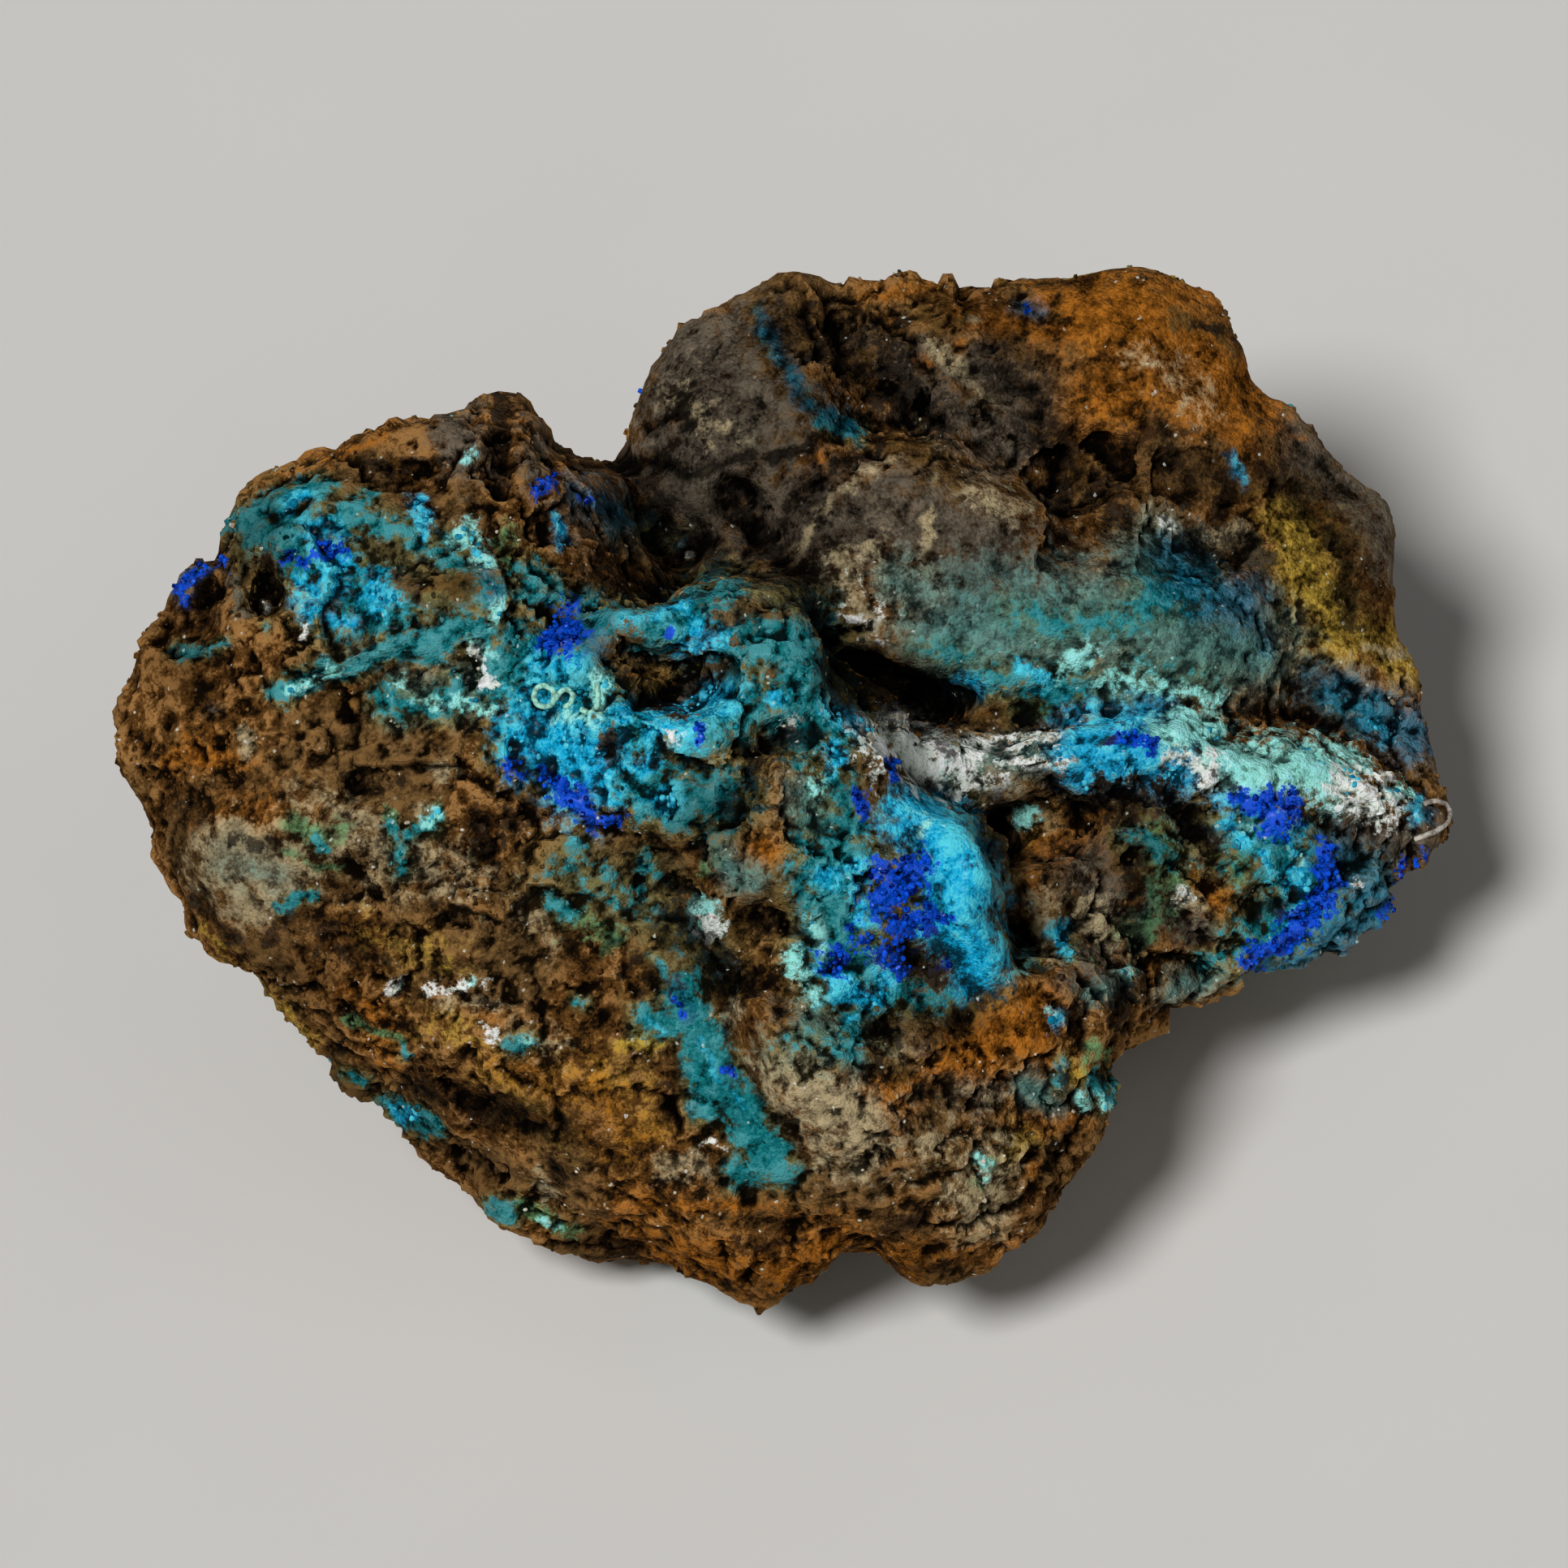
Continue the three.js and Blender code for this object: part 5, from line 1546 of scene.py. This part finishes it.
class SPECIMEN_OT_stone(bpy.types.Operator):
    """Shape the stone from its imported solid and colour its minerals"""

    bl_idname = "specimen.stone"
    bl_label = "Stone"

    def execute(self, context):
        shape = context.scene.specimen_shape
        piece = bpy.data.objects.new("stone", frame["nodes"][STONE_NODE].data.copy())
        context.scene.collection.objects.link(piece)
        piece.data.materials.clear()
        choose(piece)
        with editing("SELECT"):
            bpy.ops.mesh.remove_doubles(threshold=WELD * MM)
        even_skin(piece, FIRST_SKIN * MM)
        rough_out(piece)
        even_skin(piece, shape.skin)
        finer_show_face(piece)
        weather(piece, shape)
        mineralise(piece)
        bpy.ops.object.shade_smooth_by_angle(angle=SHARP_EDGE)
        piece.data.materials.append(stone_finish(context.scene.specimen_colours))
        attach(piece, STONE_BODY)
        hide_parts(STONE_NODE)
        return {"FINISHED"}


def share_of(stone, name):
    """A mineral's share at every point of the stone."""
    values = np.empty(len(stone.data.vertices), np.float32)
    stone.data.attributes[name].data.foreach_get("value", values)
    return values


def seats(skin, wanted, count, apart, chance):
    """Up to that many points of the stone, drawn from those wanted, each that many mm from the others."""
    taken = np.empty((0, 3))
    chosen = []
    for index in chance.permutation(np.flatnonzero(wanted & (skin.points[:, 2] > LOWEST_GRAIN))):
        if len(chosen) == count:
            break
        place = skin.points[index]
        if len(taken) and np.min(((taken - place) ** 2).sum(1)) < apart**2:
            continue
        taken = np.vstack((taken, place))
        chosen.append(index)
    return chosen


def faces_in_order(grain):
    """A grain's faces, each from its first corner on, in an order that is the same in every run."""
    faces = []
    for face in grain.data.polygons:
        corners = tuple(face.vertices)
        start = corners.index(min(corners))
        faces.append(corners[start:] + corners[:start])
    return sorted(faces)


def strewn(name, shapes, skin, chosen, size, sunk, chance, carried=None):
    """Copies of a few grains, each turned its own way and partly sunk in the stone, as one mesh."""
    kinds = []
    for grain in shapes:
        corners = np.array([vertex.co for vertex in grain.data.vertices])
        kinds.append((corners, faces_in_order(grain)))
        bpy.data.objects.remove(grain)
    points, joined, sources, shades, first = [], [], [], [], 0
    for index in chosen:
        corners, faces = kinds[chance.integers(len(kinds))]
        normal = skin.normals[index]
        length = size * chance.uniform(*GRAIN_LENGTHS)
        lean = Vector(normal + GRAIN_LEAN * chance.normal(size=3)).normalized()
        spin = Matrix.Rotation(chance.uniform(0.0, math.tau), 3, "Z")
        turn = lean.to_track_quat("Z", "Y").to_matrix() @ spin
        stretched = corners * length * chance.uniform(*GRAIN_STRETCH, 3)
        points.append(stretched @ np.array(turn).T + skin.points[index] + normal * length * (0.5 - sunk))
        joined += [tuple(corner + first for corner in face) for face in faces]
        sources += [index] * len(corners)
        shades += [chance.random()] * len(corners)
        first += len(corners)
    mesh = bpy.data.meshes.new(name)
    mesh.from_pydata((np.concatenate(points) * MM).tolist(), [], joined)
    fields = {"shade": np.array(shades)}
    if carried:
        fields = {field: values[sources] for field, values in carried.items()}
    for layer, values in fields.items():
        mesh.attributes.new(layer, "FLOAT", "POINT").data.foreach_set("value", values.astype(np.float32))
    piece = bpy.data.objects.new(name, mesh)
    bpy.context.scene.collection.objects.link(piece)
    return piece


def ground(context, group):
    """The settings of the grains, the stone, its skin, and the chances of one group of grains."""
    stone = bpy.data.objects["stone"]
    return context.scene.specimen_grains, stone, Skin(stone), np.random.default_rng(CHANCES[group])


def smooth_place(skin, least):
    """Whether each point shows on one of the smoother places, by at least that strength."""
    return brushed(*picture_place(skin.points), SMOOTH_PLACES) > least


def seated(piece, finish):
    """Gives a piece on the stone its finish and makes it move with the stone."""
    piece.data.materials.clear()
    piece.data.materials.append(finish)
    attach(piece, STONE_BODY)


def grain_finish(name, dark, light, roughness, gloss, mottle):
    """Each grain its own shade, with a finer mottle over it."""
    r = Recipe(name)
    speck = r.step(r.speckle(size=0.15, detail=2.0, rough=0.6), 0.3, 0.7)
    shade = r.field("shade") + mottle * (speck - 0.5)
    return r.finish(
        Base_Color=r.ramp(shade, (0.1, tuple(dark)), (0.95, tuple(light))),
        Roughness=roughness + 0.15 * speck,
        Specular_IOR_Level=0.05,
        Coat_Weight=gloss * speck,
        Coat_Roughness=0.15,
    )


def face_place(stone, px, py):
    """The stone's point, in mm, that shows at a picture place or at the outline by it, and its normal."""
    eye = PICTURE_CENTRE + OUT_OF_FACE * CAMERA_DISTANCE
    place = np.array((px, py), float)
    inwards = (PICTURE_MIDDLE - place) / np.hypot(*(PICTURE_MIDDLE - place))
    for _ in range(OUTLINE_SEARCH):
        across, down = place - PICTURE_MIDDLE
        aim = PICTURE_CENTRE + (ACROSS * across - UP_FACE * down) * PIXEL
        hit, spot, normal, _ = stone.ray_cast(Vector(eye * MM), Vector(aim - eye).normalized())
        if hit:
            return np.array(spot) / MM, np.array(normal)
        place += inwards
    raise RuntimeError(f"no stone near {px}, {py}")


def thread_along(stone, path, thickness):
    """A round thread that follows a line of picture places over the stone."""
    bpy.ops.object.select_all(action="DESELECT")
    bpy.ops.curve.primitive_nurbs_path_add(location=(0.0, 0.0, 0.0))
    thread = bpy.context.object
    curve = thread.data
    spline = curve.splines[0]
    corners = np.array(path, float)
    along = np.concatenate(([0.0], np.hypot(*np.diff(corners, axis=0).T).cumsum()))
    stops = np.linspace(0.0, along[-1], int(along[-1] / THREAD_STEP) + 2)
    stops = np.stack([np.interp(stops, along, corners[:, axis]) for axis in (0, 1)], axis=1)
    spline.points.add(len(stops) - len(spline.points))
    for point, (px, py) in zip(spline.points, stops):
        place, normal = face_place(stone, px, py)
        point.co = (*((place + normal * THREAD_LIFT * thickness) * MM), 1.0)
    spline.order_u = 3
    spline.use_endpoint_u = True
    curve.resolution_u = 4
    curve.bevel_depth = thickness / 2 * MM
    curve.bevel_resolution = 2
    curve.use_fill_caps = True
    bpy.ops.object.convert(target="MESH")
    return bpy.context.object


class SPECIMEN_OT_crumbs(bpy.types.Operator):
    """Strew crumbs of the stone's own minerals over its rough places"""

    bl_idname = "specimen.crumbs"
    bl_label = "Crumbs"

    def execute(self, context):
        grains, stone, skin, chance = ground(context, "crumbs")
        lumps = []
        for seed in range(CRUMB_SHAPES):
            with shaping(bpy.ops.mesh.primitive_ico_sphere_add, subdivisions=1, radius=0.5) as lump:
                bpy.ops.transform.vertex_random(offset=0.16, uniform=0.5, seed=seed)
            lumps.append(lump)
        plain = (skin.facing() > 0.0) & smooth_place(skin, least=0.35)
        rough = np.flatnonzero(~plain & (skin.points[:, 2] > LOWEST_CRUMB))
        chosen = chance.choice(rough, grains.crumbs, replace=False)
        carried = {name: share_of(stone, name) for name in (*MINERALS, "olive", "gloom", "hollow")}
        carried["tone"] = share_of(stone, "tone") + chance.normal(0.0, CRUMB_TONES, len(skin.points))
        carried["dent"] = np.full(len(skin.points), CRUMB_DENT)
        size = grains.crumb_size / MM
        piece = strewn("rock_crumbs", lumps, skin, chosen, size, sunk=0.7, chance=chance, carried=carried)
        seated(piece, stone.data.materials[0])
        return {"FINISHED"}


class SPECIMEN_OT_azurite(bpy.types.Operator):
    """Set blocky azurite crystals in the blue patches"""

    bl_idname = "specimen.azurite"
    bl_label = "Azurite crystals"

    def execute(self, context):
        grains, stone, skin, chance = ground(context, "azurite")
        with shaping(bpy.ops.mesh.primitive_cube_add, size=1.0) as crystal:
            bpy.ops.transform.resize(value=(0.62, 0.5, 1.0))
            bpy.ops.mesh.bevel(offset=0.13, segments=1)
        blue = share_of(stone, "azurite") > 0.5
        chosen = seats(skin, blue, grains.azurite_count, apart=0.32, chance=chance)
        size = grains.azurite_size / MM
        piece = strewn("azurite_crystals", [crystal], skin, chosen, size, sunk=0.55, chance=chance)
        colours = grains.deep_blue, grains.bright_blue
        seated(piece, grain_finish("azurite", *colours, roughness=0.4, gloss=0.12, mottle=0.8))
        return {"FINISHED"}


class SPECIMEN_OT_quartz(bpy.types.Operator):
    """Strew quartz grains over the pale places and the rough rock"""

    bl_idname = "specimen.quartz"
    bl_label = "Quartz grains"

    def execute(self, context):
        grains, stone, skin, chance = ground(context, "quartz")
        with shaping(bpy.ops.mesh.primitive_ico_sphere_add, subdivisions=1, radius=0.5) as grain:
            bpy.ops.transform.resize(value=(0.8, 0.65, 1.0))
            bpy.ops.mesh.bevel(offset=0.06, segments=1)
        bright = np.maximum(share_of(stone, "white"), share_of(stone, "pale") - 0.15) > 0.62
        thin = chance.random(len(skin.points)) < DRY_SHARE
        dry = np.all([share_of(stone, name) < limit for name, limit in DRY_LIMITS.items()], axis=0)
        wanted = (bright | (thin & dry)) & ~smooth_place(skin, least=0.3)
        chosen = seats(skin, wanted, grains.quartz_count, apart=0.45, chance=chance)
        size = grains.quartz_size / MM
        piece = strewn("quartz_grains", [grain], skin, chosen, size, sunk=0.6, chance=chance)
        colours = grains.stained, grains.quartz
        seated(piece, grain_finish("quartz", *colours, roughness=0.4, gloss=0.4, mottle=0.4))
        return {"FINISHED"}


class SPECIMEN_OT_beads(bpy.types.Operator):
    """Set round chrysocolla beads on the sky blue crusts"""

    bl_idname = "specimen.beads"
    bl_label = "Chrysocolla beads"

    def execute(self, context):
        grains, stone, skin, chance = ground(context, "beads")
        with shaping(bpy.ops.mesh.primitive_uv_sphere_add, segments=8, ring_count=6, radius=0.5) as bead:
            bpy.ops.transform.resize(value=(1.0, 1.0, 0.8))
            bpy.ops.transform.vertex_random(offset=0.05, uniform=0.3, seed=2)
        crusted = np.maximum(share_of(stone, "sky"), share_of(stone, "mint")) > 0.65
        clustered = crumple(skin.points, *PATTERNS["bead clusters"]) > 0.15
        free = ~smooth_place(skin, least=0.3) & (share_of(stone, "azurite") < 0.3)
        chosen = seats(skin, crusted & clustered & free, grains.bead_count, apart=0.28, chance=chance)
        size = grains.bead_size / MM
        piece = strewn("chrysocolla_beads", [bead], skin, chosen, size, sunk=0.7, chance=chance)
        choose(piece)
        bpy.ops.object.shade_smooth()
        colours = grains.deep_bead, grains.bright_bead
        seated(piece, grain_finish("chrysocolla bead", *colours, roughness=0.5, gloss=0.2, mottle=0.4))
        return {"FINISHED"}


class SPECIMEN_OT_threads(bpy.types.Operator):
    """Lay the raised mint threads and the pale rim over the crust"""

    bl_idname = "specimen.threads"
    bl_label = "Mint threads and pale rim"

    def execute(self, context):
        grains = context.scene.specimen_grains
        stone = bpy.data.objects["stone"]
        for name, paths, thickness, colour in (
            ("mint_threads", MINT_THREADS.values(), grains.thread, grains.thread_colour),
            ("pale_rim", (PALE_RIM,), grains.rim, grains.rim_colour),
        ):
            threads = [thread_along(stone, path, thickness / MM) for path in paths]
            bpy.ops.object.select_all(action="DESELECT")
            for thread in threads:
                thread.select_set(True)
            bpy.context.view_layer.objects.active = threads[0]
            if len(threads) > 1:
                bpy.ops.object.join()
            piece = threads[0]
            piece.name = piece.data.name = name
            bpy.ops.object.shade_smooth()
            r = Recipe(name.replace("_", " "))
            speck = r.step(r.speckle(size=0.3, detail=3.0, rough=0.6), 0.3, 0.7)
            dim = tuple(c * THREAD_DIM for c in colour)
            finish = r.finish(
                Base_Color=r.ramp(speck, (0.1, dim), (0.7, tuple(colour))), Roughness=0.55 + 0.2 * speck
            )
            seated(piece, finish)
        return {"FINISHED"}


class SPECIMEN_OT_stage(bpy.types.Operator):
    """Lay the pale floor and set the lights and the camera"""

    bl_idname = "specimen.stage"
    bl_label = "Stage"

    def execute(self, context):
        stage = context.scene.specimen_stage
        bpy.ops.object.select_all(action="DESELECT")
        bpy.ops.mesh.primitive_circle_add(vertices=128, radius=stage.floor_radius, fill_type="NGON")
        floor = context.object
        floor.name = "floor"
        r = Recipe("pale floor")
        mottle = r.speckle(size=60.0, detail=3.0)
        tint = tuple(stage.floor)
        floor.data.materials.append(
            r.finish(
                Base_Color=r.ramp(mottle, (0.3, tuple(c * 0.96 for c in tint)), (0.7, tint)),
                Roughness=0.75 + 0.1 * mottle,
            )
        )
        middle = Vector(PICTURE_CENTRE * MM)
        for kind, (softness, azimuth, elevation) in LIGHTS.items():
            turn, rise = math.radians(azimuth), math.radians(elevation)
            level = math.cos(rise)
            away = Vector((math.sin(turn) * level, -math.cos(turn) * level, math.sin(rise)))
            bpy.ops.object.light_add(type="SUN", location=middle + away)
            lamp = context.object
            lamp.name = kind + " light"
            lamp.rotation_euler = (-away).to_track_quat("-Z", "Y").to_euler()
            lamp.data.angle = math.radians(softness)
            lamp.data.energy = getattr(stage, kind)
        world = bpy.data.worlds.new("studio air")
        world.use_nodes = True
        nodes, links = world.node_tree.nodes, world.node_tree.links
        air, seen = nodes["Background"], nodes.new("ShaderNodeBackground")
        for background, strength in ((air, stage.sky), (seen, stage.backdrop)):
            background.inputs["Color"].default_value = AIR_COLOUR
            background.inputs["Strength"].default_value = strength
        both, rays = nodes.new("ShaderNodeMixShader"), nodes.new("ShaderNodeLightPath")
        links.new(rays.outputs["Is Camera Ray"], both.inputs[0])
        links.new(air.outputs[0], both.inputs[1])
        links.new(seen.outputs[0], both.inputs[2])
        links.new(both.outputs[0], nodes["World Output"].inputs["Surface"])
        context.scene.world = world
        away = Vector(OUT_OF_FACE)
        bpy.ops.object.camera_add(location=middle + away * CAMERA_DISTANCE * MM)
        camera = context.object
        camera.name = "camera"
        camera.rotation_euler = (-away).to_track_quat("-Z", "Y").to_euler()
        camera.data.sensor_width = SENSOR_WIDTH
        camera.data.lens = SENSOR_WIDTH * CAMERA_DISTANCE / (PICTURE_SIDE * PIXEL)
        camera.data.clip_start = 0.01
        context.scene.camera = camera
        context.scene.view_settings.view_transform = "Standard"
        return {"FINISHED"}


class SPECIMEN_PT_panel(bpy.types.Panel):
    """Sizes, colours and building steps of the specimen"""

    bl_idname = "SPECIMEN_PT_panel"
    bl_label = "Specimen"
    bl_space_type = "VIEW_3D"
    bl_region_type = "UI"
    bl_category = "Specimen"

    def draw(self, context):
        for operator in OPERATORS:
            self.layout.operator(operator.bl_idname)
        for group in GROUPS:
            settings = getattr(context.scene, group)
            for name in settings.bl_rna.properties.keys():
                if name not in ("rna_type", "name"):
                    self.layout.prop(settings, name)


OPERATORS = (
    SPECIMEN_OT_stone,
    SPECIMEN_OT_crumbs,
    SPECIMEN_OT_azurite,
    SPECIMEN_OT_quartz,
    SPECIMEN_OT_beads,
    SPECIMEN_OT_threads,
    SPECIMEN_OT_stage,
)
GROUPS = {
    "specimen_shape": SPECIMEN_PG_shape,
    "specimen_colours": SPECIMEN_PG_colours,
    "specimen_grains": SPECIMEN_PG_grains,
    "specimen_stage": SPECIMEN_PG_stage,
}


def register():
    for kind in (*GROUPS.values(), *OPERATORS, SPECIMEN_PT_panel):
        bpy.utils.register_class(kind)
    for name, group in GROUPS.items():
        setattr(bpy.types.Scene, name, PointerProperty(type=group))


def unregister():
    for name in GROUPS:
        delattr(bpy.types.Scene, name)
    for kind in (SPECIMEN_PT_panel, *OPERATORS, *GROUPS.values()):
        bpy.utils.unregister_class(kind)


def main():
    register()
    bpy.ops.specimen.stone()
    bpy.ops.specimen.crumbs()
    bpy.ops.specimen.azurite()
    bpy.ops.specimen.quartz()
    bpy.ops.specimen.beads()
    bpy.ops.specimen.threads()
    bpy.ops.specimen.stage()


if __name__ == "__main__":
    main()
